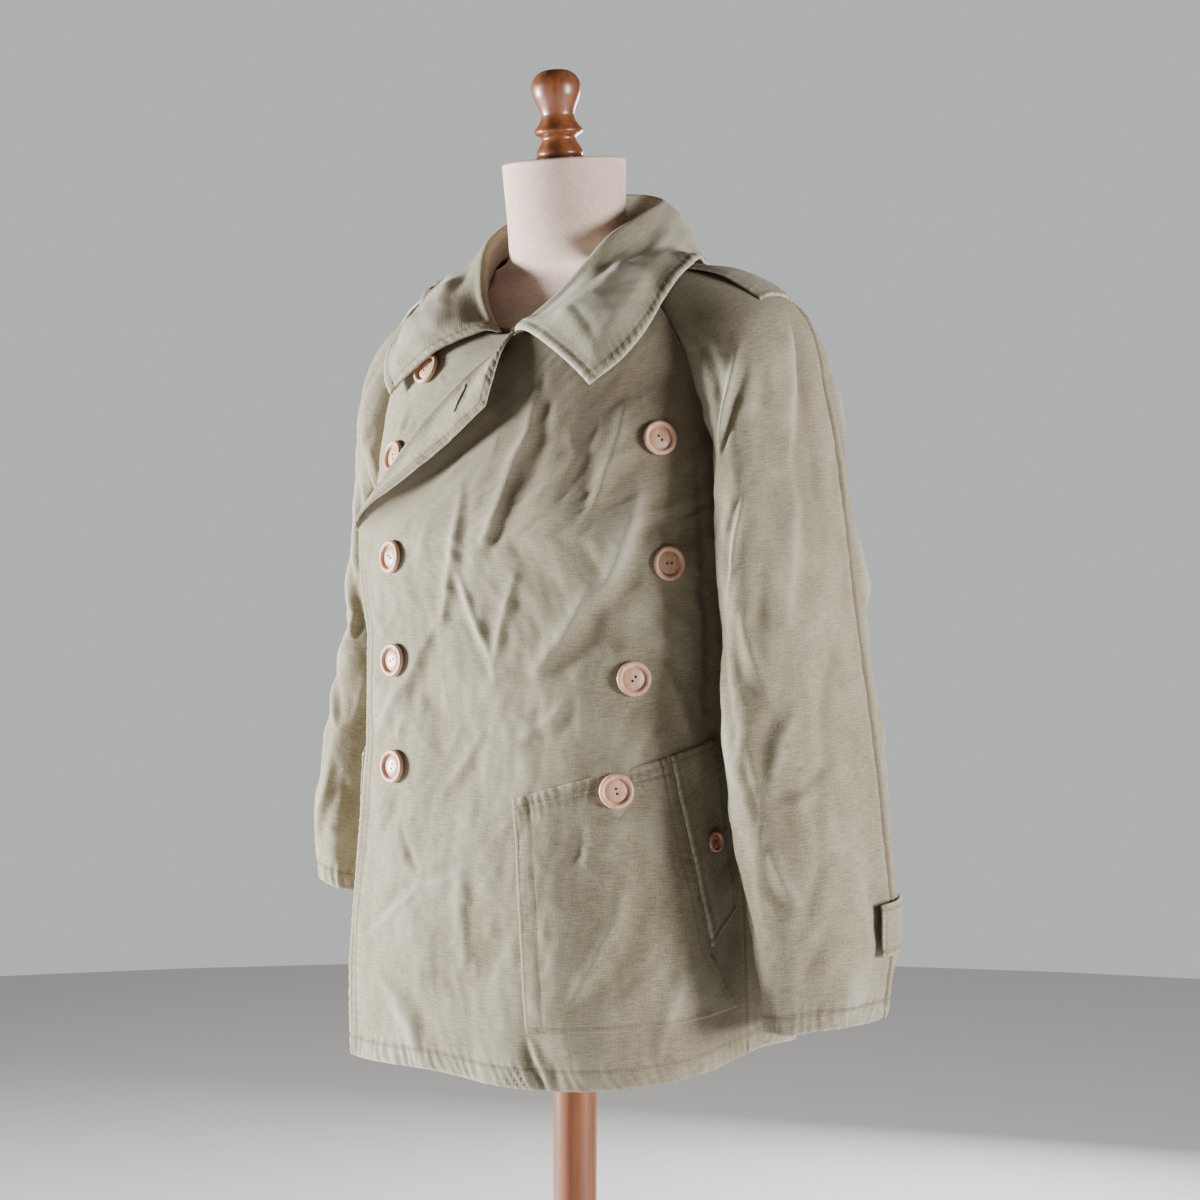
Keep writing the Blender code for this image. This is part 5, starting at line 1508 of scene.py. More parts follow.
@dataclass
class Collar:
    """Stand and fall of the collar, draped over the shoulders."""

    carriers: list[Cloth]
    roll: float = 0.0035
    stand_inset: float = 0.0034
    centre: Triple = (0.0, 0.01, 1.22)       # the fall is pushed out from here
    right_leaf_lift: float = 1.3
    columns: int = 191                       # on each side of the centre back
    fall_steps: int = 6
    rows: Table = Table(
        "angle roll_radius roll_z edge_x edge_y edge_z lift",
        (6, 0.098, 1.348, 0.108, -0.118, 1.292, 0.008),
        (17, 0.094, 1.363, 0.119, -0.099, 1.304, 0.010),
        (30, 0.090, 1.382, 0.125, -0.083, 1.319, 0.0115),
        (45, 0.086, 1.408, 0.128, -0.068, 1.337, 0.0105),
        (60, 0.083, 1.432, 0.128, -0.046, 1.362, 0.0075),
        (77, 0.082, 1.447, 0.131, -0.022, 1.381, 0.0065),
        (92, 0.082, 1.458, 0.131, 0.001, 1.398, 0.0065),
        (112, 0.081, 1.468, 0.122, 0.030, 1.412, 0.004),
        (132, 0.080, 1.475, 0.102, 0.066, 1.410, 0.004),
        (155, 0.076, 1.482, 0.060, 0.094, 1.398, 0.004),
        (180, 0.073, 1.486, 0.000, 0.103, 1.392, 0.004))

    def __post_init__(self) -> None:
        """Drape the collar."""
        places = np.linspace(0, self.rows.last, self.columns)
        lines = np.concatenate([self.profiles(1, places), self.profiles(-1, places)[:, -2::-1]], axis=1)
        lines[4:] = soften(lines[4:], 24)
        steps = np.concatenate([np.linspace(0, 2, 13)[:-1], np.linspace(2, 4, 13)[:-1],
                                np.linspace(4, len(lines) - 1, 47)])
        base = spline_through(lines, steps)
        normals = unit(np.cross(np.gradient(base, axis=1), np.gradient(base, axis=0)))
        normals *= np.sign((normals[-1] * (base[-1] - np.array(self.centre))).sum(-1).mean())
        self.cloth = Cloth("collar_cloth", base, normals, FOLDED, 31)
        self.dress()

    def profiles(self, side: int, places: Array) -> Array:
        """Sections of one side: neck seam, stand, roll, then the fall out to its edge."""
        row = self.rows.row(places)
        turn = np.radians(row["angle"])
        outward = np.stack([side * np.sin(turn), -np.cos(turn), 0 * turn], -1)
        up = np.array([0.0, 0.0, 1.0])
        crown = outward * row["roll_radius"][:, None] + up * row["roll_z"][:, None]
        edge = np.stack([side * row["edge_x"], row["edge_y"], row["edge_z"]], -1)
        foot = BodyShape.point(side * row["angle"], LEVEL_NECK) - outward * self.stand_inset
        top = crown - outward * self.roll - up * self.roll
        foot[:, 2] = np.minimum(foot[:, 2] + 0.0003, top[:, 2] - 0.001)
        shoulder = crown + unit(edge - crown) * 2 * self.roll + outward * 0.5 * self.roll
        lines = [foot, foot + (top - foot) * 0.6, top, crown]
        for share in np.arange(self.fall_steps + 1) / self.fall_steps:
            points = shoulder + (edge - shoulder) * share
            lift = row["lift"] * (0.6 + 0.4 * share) * (1.0 if side > 0 else self.right_leaf_lift)
            lines.append(np.array([self.clear_of(Vector(point), float(room))
                                   for point, room in zip(points, lift)]))
        return np.stack(lines)

    def clear_of(self, point: Vector, lift: float) -> Vector:
        """Move a point away from the centre until it stands clear of the cloth below."""
        centre = Vector(self.centre)
        direction, reach = (point - centre).normalized(), (point - centre).length
        for carrier in self.carriers:
            hit = carrier.search.ray_cast(centre + direction * 0.45, -direction, 0.44)[0]
            if hit is not None:
                reach = max(reach, (hit - centre).length + lift)
        return centre + direction * reach

    def dress(self) -> None:
        """Fold, hem and stitch the collar."""
        cloth = self.cloth
        across, up = cloth.across - cloth.across[:, self.columns - 1][:, None], cloth.up
        fall = smooth((up - 0.045) / 0.02)
        cloth.crumple(0.0020, (0.05, 0.04), fall)
        cloth.crumple(0.0009, (0.020, 0.018), fall)
        folds = small_folds(33, 40, (-0.30, 0.05), (0.30, 0.13), 10, 0.0006, (0.015, 0.05))
        cloth.relief += fold_relief(folds + COLLAR_FOLDS, across, up) * fall
        inside = np.minimum.reduce([cloth.from_edge(edge) for edge in (Edge.TOP, *UPRIGHT)])
        cloth.relief += 0.0036 * smooth((inside - 0.012) / 0.022) * fall
        # painted light: the leaf on the wearer's left is made paler
        cloth.paleness = 0.34 * smooth((np.median(cloth.across) - cloth.across - 0.02) / 0.10)
        cloth.hem(Edge.TOP, (0.0075,), 0.0005, 0.0003, 0.0078, 0.0008, 0.8)
        for edge in UPRIGHT:
            cloth.hem(edge, (0.0075,), 0.0005, 0.0004, 0.0078, 0.0008, 0.8, (0.30, 0.99))
        cloth.settle()


@dataclass
class Lapel:
    """The turned-back corner of the outer front, with its buttonhole."""

    rows: Table = Table(
        "fold_level angle z hover",
        (9.55, 11, 1.340, 0.003), (9.00, 10.9, 1.318, 0.009), (8.30, 10.9, 1.290, 0.016),
        (7.80, 10.3, 1.2735, 0.018), (7.35, 0.6, 1.255, 0.017), (6.80, -15.3, 1.230, 0.013),
        (6.10, -31.4, 1.2045, 0.008), (5.15, -50.5, 1.179, 0.002))
    buttonhole: tuple[Point, Point] = ((0.0123, 0.2038), (0.0295, 0.1829))   # its two flat ends

    def __post_init__(self) -> None:
        """Lay the corner from its fold to its free edge."""
        along = np.linspace(self.rows.last, 0, odd(0.30, 0.0013))[:, None]
        share = np.linspace(0, 1, odd(0.065, 0.0013))[None, :]
        value = {name: self.rows.straight(name, along[:, 0])[:, None] for name in self.rows.columns}
        fold_angle = BODY.straight("left_edge", value["fold_level"])
        free_level = BodyShape.level_at(value["angle"], value["z"])
        angle = fold_angle + 0.4 + (value["angle"] - fold_angle - 0.4) * share
        level = value["fold_level"] + (free_level - value["fold_level"]) * share
        lift = (CLOTH + 0.0014 + value["hover"] * smooth(share * 1.2)
                + BodyShape.left_lift(angle, level))
        normal = BodyShape.normal(angle, level)
        base = BodyShape.point(angle, level) + normal * lift[..., None]
        away = unit(base[:, :1] - base[:, 1:2])
        turns = np.linspace(2.5, 0.25, 10)[None, :, None]
        radius = CLOTH / 2 + 0.0012
        core = base[:, :1] - normal[:, :1] * radius
        roll = core + radius * (normal[:, :1] * np.cos(turns) + away * np.sin(turns) * 1.2)
        facing = normal[:, :1] * np.cos(turns) + away * np.sin(turns)
        base = np.concatenate([roll, base], axis=1)
        normal = np.concatenate([facing, normal], axis=1)
        if base.shape[1] % 2 == 0:
            base, normal = base[:, 1:], normal[:, 1:]
        self.cloth = Cloth("left_lapel_cloth", base, grid_normals(base, normal), CLOTH, 41)
        self.dress()

    def dress(self) -> None:
        """Crumple, hem and stitch the corner."""
        cloth = self.cloth
        inner = cloth.edge_mask({Edge.FIRST: 0.02})
        cloth.crumple(0.0022, (0.03, 0.04), inner)
        cloth.crumple(0.0011, (0.014, 0.014), inner)
        away = self.from_buttonhole()
        cloth.relief += 0.0006 * bell(away - 0.0028, 0.0016) - 0.0012 * bell(away, 0.0012)
        cloth.relief += 0.0007 * cloth.noise(cloth.across / 0.007, cloth.up / 0.007) * bell(away, 0.009)
        # painted shade round the buttonhole
        cloth.paint_shade_line(away, 0.0008, 1.0)
        cloth.wear += 0.25 * bell(away - 0.0026, 0.0014)
        cloth.hem(Edge.LAST, (0.0028, 0.0062), 0.0003, 0.00020, 0.008, 0.0006, 1.1)
        cloth.hem(Edge.TOP, (), 0.0, 0.0002, 0.008, 0.0004, 0.5)
        cloth.hem(Edge.BOTTOM, (), 0.0, 0.0002, 0.008, 0.0008, 0.5)
        cloth.settle()


    def from_buttonhole(self) -> Array:
        """Distance of every place from the buttonhole."""
        start, end = (np.array(place) for place in self.buttonhole)
        way = end - start
        flat = np.stack([self.cloth.across, self.cloth.up], -1) - start
        along = np.clip(flat @ way / (way @ way), 0, 1)
        return np.linalg.norm(flat - along[..., None] * way, axis=-1)

    def whipping(self, pitch: float = 0.0009, reach: float = 0.0016) -> tuple[Array, Array, Array]:
        """Middles, directions and normals of the stitches round the buttonhole."""
        start, end = (np.array(place) for place in self.buttonhole)
        length = float(np.linalg.norm(end - start))
        way = (end - start) / length
        aside = np.array([-way[1], way[0]])
        stops = np.arange(0.0, length, pitch)[:, None]
        turns = np.linspace(-0.5, 0.5, 7)[1:-1, None] * np.pi
        cap = way * np.cos(turns) + aside * np.sin(turns)
        flat = np.concatenate([*(start + way * stops + aside * side * reach for side in (-1, 1)),
                               end + reach * cap, start - reach * cap])
        outwards = np.concatenate([*(np.repeat((aside * side)[None], len(stops), 0)
                                     for side in (-1, 1)), cap, -cap])
        points, normals = self.spot(flat)
        beyond, _ = self.spot(flat + outwards * 0.0006)
        return points, unit(beyond - points), normals

    def spot(self, flat: Array) -> tuple[Array, Array]:
        """Points and normals of the outer face at flat places."""
        cloth = self.cloth
        nearest = [np.unravel_index(np.argmin((cloth.across - x) ** 2 + (cloth.up - y) ** 2),
                                    cloth.across.shape) for x, y in flat]
        i, j = np.clip(np.array(nearest), 1, np.array(cloth.across.shape) - 2).T
        right = (flat[:, 0] - cloth.across[i, j]) / (cloth.across[i, j + 1] - cloth.across[i, j - 1])
        high = (flat[:, 1] - cloth.up[i, j]) / (cloth.up[i + 1, j] - cloth.up[i - 1, j])
        return cloth.at(i + np.clip(2 * high, -0.9, 0.9), j + np.clip(2 * right, -0.9, 0.9))


def neck_tab() -> Cloth:
    """End of the neckband that shows between the two collar leaves."""
    angles = np.linspace(-20, 18, odd(0.066, 0.0015))[None, :]
    up = np.linspace(0, 1, odd(0.012, 0.0012))[:, None]
    neck = BodyShape.point(angles + 0 * up, LEVEL_NECK)
    flat = neck * np.array([1.0, 1.0, 0.0])
    base = neck - unit(flat) * 0.0093
    base[..., 2] += 0.012 * up * (0.75 + 0.25 * np.cos(np.radians(angles * 4))) - 0.004
    cloth = Cloth("neck_tab_cloth", base, grid_normals(base, flat), CLOTH, 43)
    cloth.crumple(0.0008, (0.012, 0.012))
    cloth.hem(Edge.TOP, (0.0035,), 0.0003, 0.0004, 0.006, 0.0004)
    return cloth.settle()


# ---- pockets and flaps
def edge_places(bottom: Array, corner: Point | None, top: Array, up: Array) -> Array:
    """Places up a patch's edge, which turns at its corner if it has one."""
    if corner is None:
        return bottom + (top - bottom) * up
    low = bottom + (np.array(corner) - bottom) * up / CORNER_UP
    high = np.array(corner) + (top - np.array(corner)) * (up - CORNER_UP) / (1 - CORNER_UP)
    return np.where(up < CORNER_UP, low, high)


def patch(name: str, panel: Panel, corners: Corners, left: bool, thickness: float, seed: int,
          corner: Point | None = None, spacing: float = 0.0022) -> Cloth:
    """A patch laid on a front, following the front's own relief.

    Args:
        name: of the piece.
        panel: the front under it.
        corners: its four corners.
        left: whether it is on the outer front.
        thickness: of the cloth.
        seed: of its crumpling.
        corner: place at which its outer edge turns.
        spacing: of its grid.

    Returns:
        The piece.
    """
    top_left, top_right, bottom_right, bottom_left = np.array(corners, float)
    wide = abs(top_right[0] - top_left[0] + bottom_right[0] - bottom_left[0]) / 2 * BODY_ARC
    high = abs(top_left[1] - bottom_left[1] + top_right[1] - bottom_right[1]) / 2
    across = np.linspace(0, 1, odd(wide, spacing))[None, :, None]
    up = np.linspace(0, 1, odd(high, spacing))[:, None, None]
    start = edge_places(bottom_left, None if left else corner, top_left, up)
    end = edge_places(bottom_right, corner if left else None, top_right, up)
    places = start + (end - start) * across
    angle, level = places[..., 0], BodyShape.level_at(places[..., 0], places[..., 1])
    lift = CLOTH + PATCH_EASE + (BodyShape.left_lift(angle, level) if left else 0.0 * angle)
    normal = BodyShape.normal(angle, level)
    base = BodyShape.point(angle, level) + normal * lift[..., None]
    cloth = Cloth(name, base, grid_normals(base, normal), thickness, seed)
    cloth.relief = panel.relief_at(angle, level)
    cloth.places = places
    return cloth


@dataclass
class Pockets:
    """The slanted patch pockets and their flaps."""

    body: BodyPanels
    pieces: dict[str, Cloth] = field(init=False, default_factory=dict)

    def __post_init__(self) -> None:
        """Lay all four pieces."""
        self.pocket("left_pocket", self.body.left, LEFT_POCKET, LEFT_CORNER, 51)
        self.pocket("right_pocket", self.body.right, RIGHT_POCKET, RIGHT_CORNER, 52)
        self.flap("left_pocket_flap", self.body.left, LEFT_FLAP, True, 53)
        self.flap("right_pocket_flap", self.body.right, RIGHT_FLAP, False, 54)

    def pocket(self, name: str, panel: Panel, corners: Corners, corner: Point, seed: int) -> None:
        """Lay one patch: welt at the front, ruched top, double-stitched opening."""
        left = corner[0] > 0
        cloth = patch(name + "_cloth", panel, corners, left, 0.0010, seed, corner)
        front, opening = UPRIGHT if left else UPRIGHT[::-1]
        cloth.crumple(0.0016, (0.05, 0.07), cloth.edge_mask({edge: 0.03 for edge in Edge}))
        if left:
            cloth.relief *= calm_near((POCKET_BUTTON,), cloth.places[..., 0] * BODY_ARC,
                                      cloth.places[..., 1])
        cloth.hem(front, (0.0030, 0.0165), 0.0004, 0.00020, 0.010, 0.0011, 0.10)
        cloth.hem(Edge.TOP, (0.0080, 0.0140), 0.0004, 0.00060, 0.0078, 0.0011, 0.45)
        cloth.hem(opening, (0.0030, 0.0085), 0.0005, 0.00025, 0.009, 0.0006, 0.8)
        cloth.hem(Edge.BOTTOM, (0.0035,), 0.0002, 0.00040, 0.008, 0.0014, 0.10)
        self.pieces[name] = cloth.settle()

    def flap(self, name: str, panel: Panel, corners: Corners, left: bool, seed: int) -> None:
        """Lay one flap behind its pocket's opening."""
        cloth = patch(name + "_cloth", panel, corners, left, 0.0018, seed, spacing=0.0018)
        cloth.crumple(0.0010, (0.03, 0.04))
        for edge in Edge:
            cloth.hem(edge, (0.0055,), 0.0003, 0.0003, 0.008, 0.0008, 0.7)
        self.pieces[name] = cloth.settle()


# ---- buttons
class ButtonKind(Enum):
    """The two kinds of button, as radius, height and the places of their holes."""

    LARGE = (0.0150, 0.0050, ((-0.0022, 0.0), (0.0022, 0.0)))
    SMALL = (0.0090, 0.0034, ((-0.0013, -0.0013), (0.0013, -0.0013), (-0.0013, 0.0013),
                              (0.0013, 0.0013)))


SHARP = math.radians(48)                 # edges turned by more than this stay sharp


def mesh_of(build: bmesh.types.BMesh, mesh: Mesh) -> Mesh:
    """Write a built body into a mesh."""
    build.to_mesh(mesh)
    build.free()
    return mesh


def lathe(name: str, profile: Sequence[Point], steps: int) -> Mesh:
    """Turn a profile, from the top on the axis down to the bottom on the axis, about Z."""
    build = bmesh.new()
    points = [build.verts.new((radius, 0.0, z)) for radius, z in profile]
    edges = [build.edges.new(pair) for pair in zip(points, points[1:])]
    bmesh.ops.spin(build, geom=points + edges, cent=(0, 0, 0), axis=(0, 0, 1), angle=2 * math.pi,
                   steps=steps, use_merge=True)
    bmesh.ops.remove_doubles(build, verts=build.verts, dist=MERGE)
    bmesh.ops.recalc_face_normals(build, faces=build.faces)
    mesh = mesh_of(build, bpy.data.meshes.new(name))
    mesh.shade_smooth()
    mesh.set_sharp_from_angle(angle=SHARP)
    return mesh


def curved(points: Sequence[Point], steps: int) -> list[Point]:
    """Smooth profile through its points."""
    last = len(points) - 1
    line = spline_through(np.array(points, float), np.linspace(0, last, steps * last + 1))
    line[:, 0] = np.maximum(line[:, 0], 0.0)
    return [tuple(point) for point in line]


@dataclass
class Button:
    """A turned button with its holes, sewn on with crossed thread."""

    name: str
    node: str
    kind: ButtonKind
    spin: float
    finish: Material
    thread: Material

    def profile(self) -> list[Point]:
        """Section from the middle of the face out over the rim to the back."""
        radius, height, _ = self.kind.value
        rim = 0.16 * radius
        face = ((0.0, 0.0, 0.60), (0.30, 0.0, 0.585), (1.0, 2.6, 0.52), (1.0, 2.15, 0.34),
                (1.0, 1.95, 0.36), (1.0, 1.7, 0.80), (1.0, 1.25, 0.97), (1.0, 0.85, 1.0),
                (1.0, 0.35, 0.92), (1.0, 0.06, 0.70), (1.0, 0.0, 0.52), (1.0, 0.10, 0.32),
                (1.0, 0.45, 0.12), (0.50, 0.0, 0.01), (0.0, 0.0, 0.0))
        return [(share * radius - rims * rim, high * height) for share, rims, high in face]

    def turn(self) -> Object:
        """Turn the body of the button and drill its holes."""
        piece = new_piece(self.name, lathe(self.name, self.profile(), 40), self.finish)
        _, height, holes = self.kind.value
        drill = bmesh.new()
        for x, y in holes:
            bmesh.ops.create_cone(drill, cap_ends=True, segments=14, radius1=0.00115,
                                  radius2=0.00135, depth=2 * height,
                                  matrix=Matrix.Translation((x, y, height / 2)))
        cutter = link(bpy.data.objects.new("drill", mesh_of(drill, bpy.data.meshes.new("drill"))))
        cut = piece.modifiers.new("holes", "BOOLEAN")
        cut.operation, cut.solver, cut.object = "DIFFERENCE", "EXACT", cutter
        mesh = evaluated(piece)
        piece.modifiers.remove(cut)
        piece.data = mesh
        bpy.data.objects.remove(cutter)
        mesh.set_sharp_from_angle(angle=SHARP)
        return piece

    def sew(self, loose: bool) -> Object:
        """Thread through the holes, with a loose end where one hangs out."""
        reach, height, holes = self.kind.value
        top = (0.60 if len(holes) == 4 else 0.30) * height
        curve = bpy.data.curves.new(self.name + "_thread", "CURVE")
        curve.dimensions, curve.bevel_depth, curve.bevel_resolution = "3D", 0.00022, 2
        rise = ((0.0, -0.4), (0.18, 0.02), (0.5, 0.06), (0.82, 0.02), (1.0, -0.4))
        pairs = [(holes[0], holes[-1])] + ([(holes[1], holes[2])] if len(holes) == 4 else [])
        for (ax, ay), (bx, by) in pairs:
            for shift in (-0.00032, 0.00032):
                self.strand(curve, [(ax + (bx - ax) * t, ay + (by - ay) * t + shift,
                                     top + 0.0010 * high) for t, high in rise])
        if loose:
            self.strand(curve, [(-0.001, 0.001, top), (-0.4 * reach, 0.2 * reach, height + 0.001),
                                (-0.95 * reach, -0.1 * reach, height + 0.0012),
                                (-1.30 * reach, -0.55 * reach, 0.0016),
                                (-1.75 * reach, -0.35 * reach, 0.0012),
                                (-1.55 * reach, -0.90 * reach, 0.0014)])
        line = link(bpy.data.objects.new(self.name + "_thread", curve))
        mesh = evaluated(line)
        bpy.data.objects.remove(line)
        mesh.materials.clear()
        return new_piece(self.name + "_thread", mesh, self.thread)

    @staticmethod
    def strand(curve: bpy.types.Curve, points: Sequence[Triple]) -> None:
        """Add one smooth strand to a curve."""
        spline = curve.splines.new("NURBS")
        spline.points.add(len(points) - 1)
        for point, place in zip(spline.points, points):
            point.co = (*place, 1.0)
        spline.order_u, spline.use_endpoint_u, spline.use_cyclic_u = 3, True, False

    def seat(self, carrier: Cloth, loose: bool = False) -> list[Object]:
        """Lay the button on its carrier at the place of its CAD node."""
        low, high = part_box(self.node)
        middle = (low + high) / 2
        radius = self.kind.value[0]
        search = carrier.search
        near, facing = search.find_nearest(middle)[:2]

        def drop(way: Vector) -> Vector | None:
            """Where the cloth lies below a place beside the middle, if it lies there."""
            return search.ray_cast(near + way + facing * 0.02, -facing, 0.04)[0]

        facing = facing if facing.dot(Vector((middle.x, middle.y, 0.0))) > 0 else -facing
        for _ in range(2):
            side = facing.orthogonal().normalized()
            other = facing.cross(side)
            ends = [drop(way * radius * 0.8) or near + way * radius for way in (side, other, -side, -other)]
            facing = (ends[0] - ends[2]).cross(ends[1] - ends[3]).normalized()
        rises = [0.0]
        for ring in (0.4, 0.7, 0.95):
            for k in range(16):
                hit = drop(Matrix.Rotation(2 * math.pi * k / 16, 3, facing) @ side * ring * radius)
                if hit is not None:
                    rises.append((hit - near).dot(facing))
        turn = facing.to_track_quat("Z", "Y").to_matrix() @ Matrix.Rotation(self.spin, 3, "Z")
        place = Matrix.Translation(near + facing * (max(rises) + 0.0002)) @ turn.to_4x4()
        pieces = [self.turn(), self.sew(loose)]
        for piece in pieces:
            piece.data.transform(place)
        return pieces


# ---- form and stand
@dataclass
class Form:
    """The limbless torso in linen, with its neck cut on a slight slope."""

    rows: Table = Table(
        "z half_width front back middle_y",
        (0.800, 0.150, 0.105, 0.115, 0.000), (0.860, 0.166, 0.116, 0.128, 0.000),
        (0.940, 0.160, 0.112, 0.118, 0.000), (1.030, 0.150, 0.106, 0.104, 0.000),
        (1.120, 0.162, 0.116, 0.112, 0.000), (1.200, 0.174, 0.124, 0.118, 0.000),
        (1.280, 0.178, 0.116, 0.116, 0.002), (1.325, 0.174, 0.090, 0.098, 0.006),
        (1.374, 0.162, 0.064, 0.074, 0.007), (1.4005, 0.130, 0.050, 0.060, 0.006),
        (1.4132, 0.094, 0.047, 0.054, 0.001), (1.422, 0.065, 0.049, 0.051, -0.005),
        (1.446, 0.056, 0.054, 0.050, -0.010), (1.509, 0.057, 0.057, 0.055, -0.016))
    neck_tilt: float = math.radians(5.5)
    neck_y: float = -0.016
    columns: int = 120
    shrink: float = 0.0012                   # the torso's cover lies this far inside its solid

    def body(self, linen: Material) -> Object:
        """The linen-covered torso, its edges rounded."""
        places = np.concatenate([np.linspace(0, self.rows.last - 1, 105)[:-1],
                                 np.linspace(self.rows.last - 1, self.rows.last, 22)])
        value = {name: values[:, None] for name, values in self.rows.row(places).items()}
        turn = np.linspace(0, 2 * np.pi, self.columns + 1)[None, :]
        depth = np.where(np.cos(turn) > 0, value["front"], value["back"])
        inside = self.shrink * (1 - smooth((value["z"] - 1.415) / 0.02))
        x = (value["half_width"] - inside) * np.sin(turn)
        y = value["middle_y"] - (depth - inside) * np.cos(turn)
        tilt = smooth((value["z"] - 1.45) / 0.05) * (y - self.neck_y) * math.tan(self.neck_tilt)
        side = np.stack([x, y, value["z"] - 0.6 * inside + tilt], -1)
        shares = np.array([0.975, 0.93, 0.6, 0.25, 0.0])[:, None, None]
        low, high = (ring[:-1].mean(0) + (ring - ring[:-1].mean(0)) * shares
                     for ring in (side[0], side[-1]))
        grid = np.concatenate([low[::-1], side, high])
        corner = len(low) + len(side) - 1
        for ring, drop in ((corner, 0.0016), (corner + 1, 0.0003), (corner - 1, 0.0012)):
            grid[ring, :, 2] -= drop
        run = run_along(grid)
        parts = MeshParts()
        number = parts.add_points(grid, np.stack([turn * 0.057 + 0 * run, run, 0 * run], -1))
        parts.add_faces(*grid_corners(number))
        mesh = parts.mesh("form_cover", ("wear",))
        build = bmesh.new()
        build.from_mesh(mesh)
        bmesh.ops.remove_doubles(build, verts=build.verts, dist=MERGE)
        bmesh.ops.recalc_face_normals(build, faces=build.faces)
        return new_piece("form_cover", mesh_of(build, mesh), linen)


@dataclass
class Stand:
    """Finial, pole and round base, turned in varnished wood."""

    pole_radius: float = 0.0200
    hub_top: float = 0.075
    pole_top: float = 0.7997
    base_radius: float = 0.205
    neck_top: Triple = (0.0, -0.016, 1.509)
    neck_tilt: float = math.radians(5.5)
    seat_offset: float = 0.006

    def turned(self, name: str, profile: Sequence[Point], steps: int, finish: Material) -> Object:
        """Turn one part, with its proud beads and edges marked as worn."""
        mesh = lathe(name, profile, steps)
        radius, heights = np.array(profile, float).T
        proud = np.maximum(np.gradient(np.gradient(-radius)), 0)
        proud = np.clip(proud / max(proud.max(), 1e-9), 0, 1)
        order = np.argsort(heights)
        values = [float(np.interp(v.co.z, heights[order], proud[order])) for v in mesh.vertices]
        layer = mesh.attributes.new("wear", "FLOAT", "POINT")
        layer.data.foreach_set("value", np.array(values, np.float32))
        return new_piece(name, mesh, finish)

    def finial(self, finish: Material) -> Object:
        """Ball on two beads and a foot, tilted with the neck's top."""
        bulb = [(0.0, 0.0825), (0.0080, 0.0821), (0.0145, 0.0799), (0.0195, 0.0755),
                (0.0222, 0.0698), (0.0224, 0.0645), (0.0214, 0.0585), (0.0192, 0.0530),
                (0.0168, 0.0475), (0.0152, 0.0425), (0.0151, 0.0400), (0.0162, 0.0362),
                (0.0190, 0.0318), (0.0216, 0.0285), (0.0222, 0.0265)]
        waist = [(0.0222, 0.0265), (0.0212, 0.0245), (0.0172, 0.0222), (0.0158, 0.0200),
                 (0.0163, 0.0170), (0.0186, 0.0132), (0.0207, 0.0095), (0.0212, 0.0065),
                 (0.0205, 0.0042)]
        foot = [(0.0205, 0.0042), (0.0217, 0.0028), (0.0217, 0.0010), (0.0212, 0.0)]
        profile = curved(bulb, 4) + curved(waist, 4)[1:] + curved(foot, 3)[1:] + [(0.0, 0.0)]
        piece = self.turned("finial_turned", profile, 56, finish)
        drop = -self.seat_offset * math.tan(self.neck_tilt) + 0.00045
        seat = Vector(self.neck_top) + Vector((0.0, -self.seat_offset, drop))
        piece.data.transform(Matrix.Translation(seat) @ Matrix.Rotation(self.neck_tilt, 4, "X"))
        return piece

    def pole(self, finish: Material) -> Object:
        """Plain round pole."""
        low, high, radius = self.hub_top + 0.0003, self.pole_top, self.pole_radius
        sides = [(radius, high - 0.001 - (high - low - 0.002) * k / 24) for k in range(25)]
        profile = [(0.0, high), (radius - 0.001, high), *sides, (radius - 0.001, low), (0.0, low)]
        return self.turned("pole_turned", profile, 56, finish)

    def base(self, finish: Material) -> Object:
        """Low dished base with a hub for the pole."""
        top = self.hub_top
        hub = curved([(0.026, top), (0.034, top - 0.008), (0.036, 0.060), (0.028, 0.052),
                      (0.030, 0.042), (0.060, 0.034), (0.120, 0.030), (0.190, 0.026),
                      (0.202, 0.021), (self.base_radius, 0.013), (0.202, 0.004), (0.196, 0.0)], 5)
        return self.turned("base_turned", [(0.0, top)] + hub + [(0.0, 0.0)], 96, finish)


# ---- studio
@dataclass(frozen=True)
class Softbox:
    """A large soft lamp aimed at the jacket."""

    name: str
    place: Triple
    size: float
    power: float
    tint: Triple
    aim: Triple = (0.0, 0.0, 1.1)

    def hang(self) -> None:
        """Put the lamp in the scene."""
        lamp = bpy.data.lights.new(self.name, "AREA")
        lamp.shape, lamp.size, lamp.energy, lamp.color = "DISK", self.size, self.power, self.tint
        holder = link(bpy.data.objects.new(self.name, lamp))
        holder.location = self.place
        way = Vector(self.aim) - Vector(self.place)
        holder.rotation_euler = way.to_track_quat("-Z", "Y").to_euler()


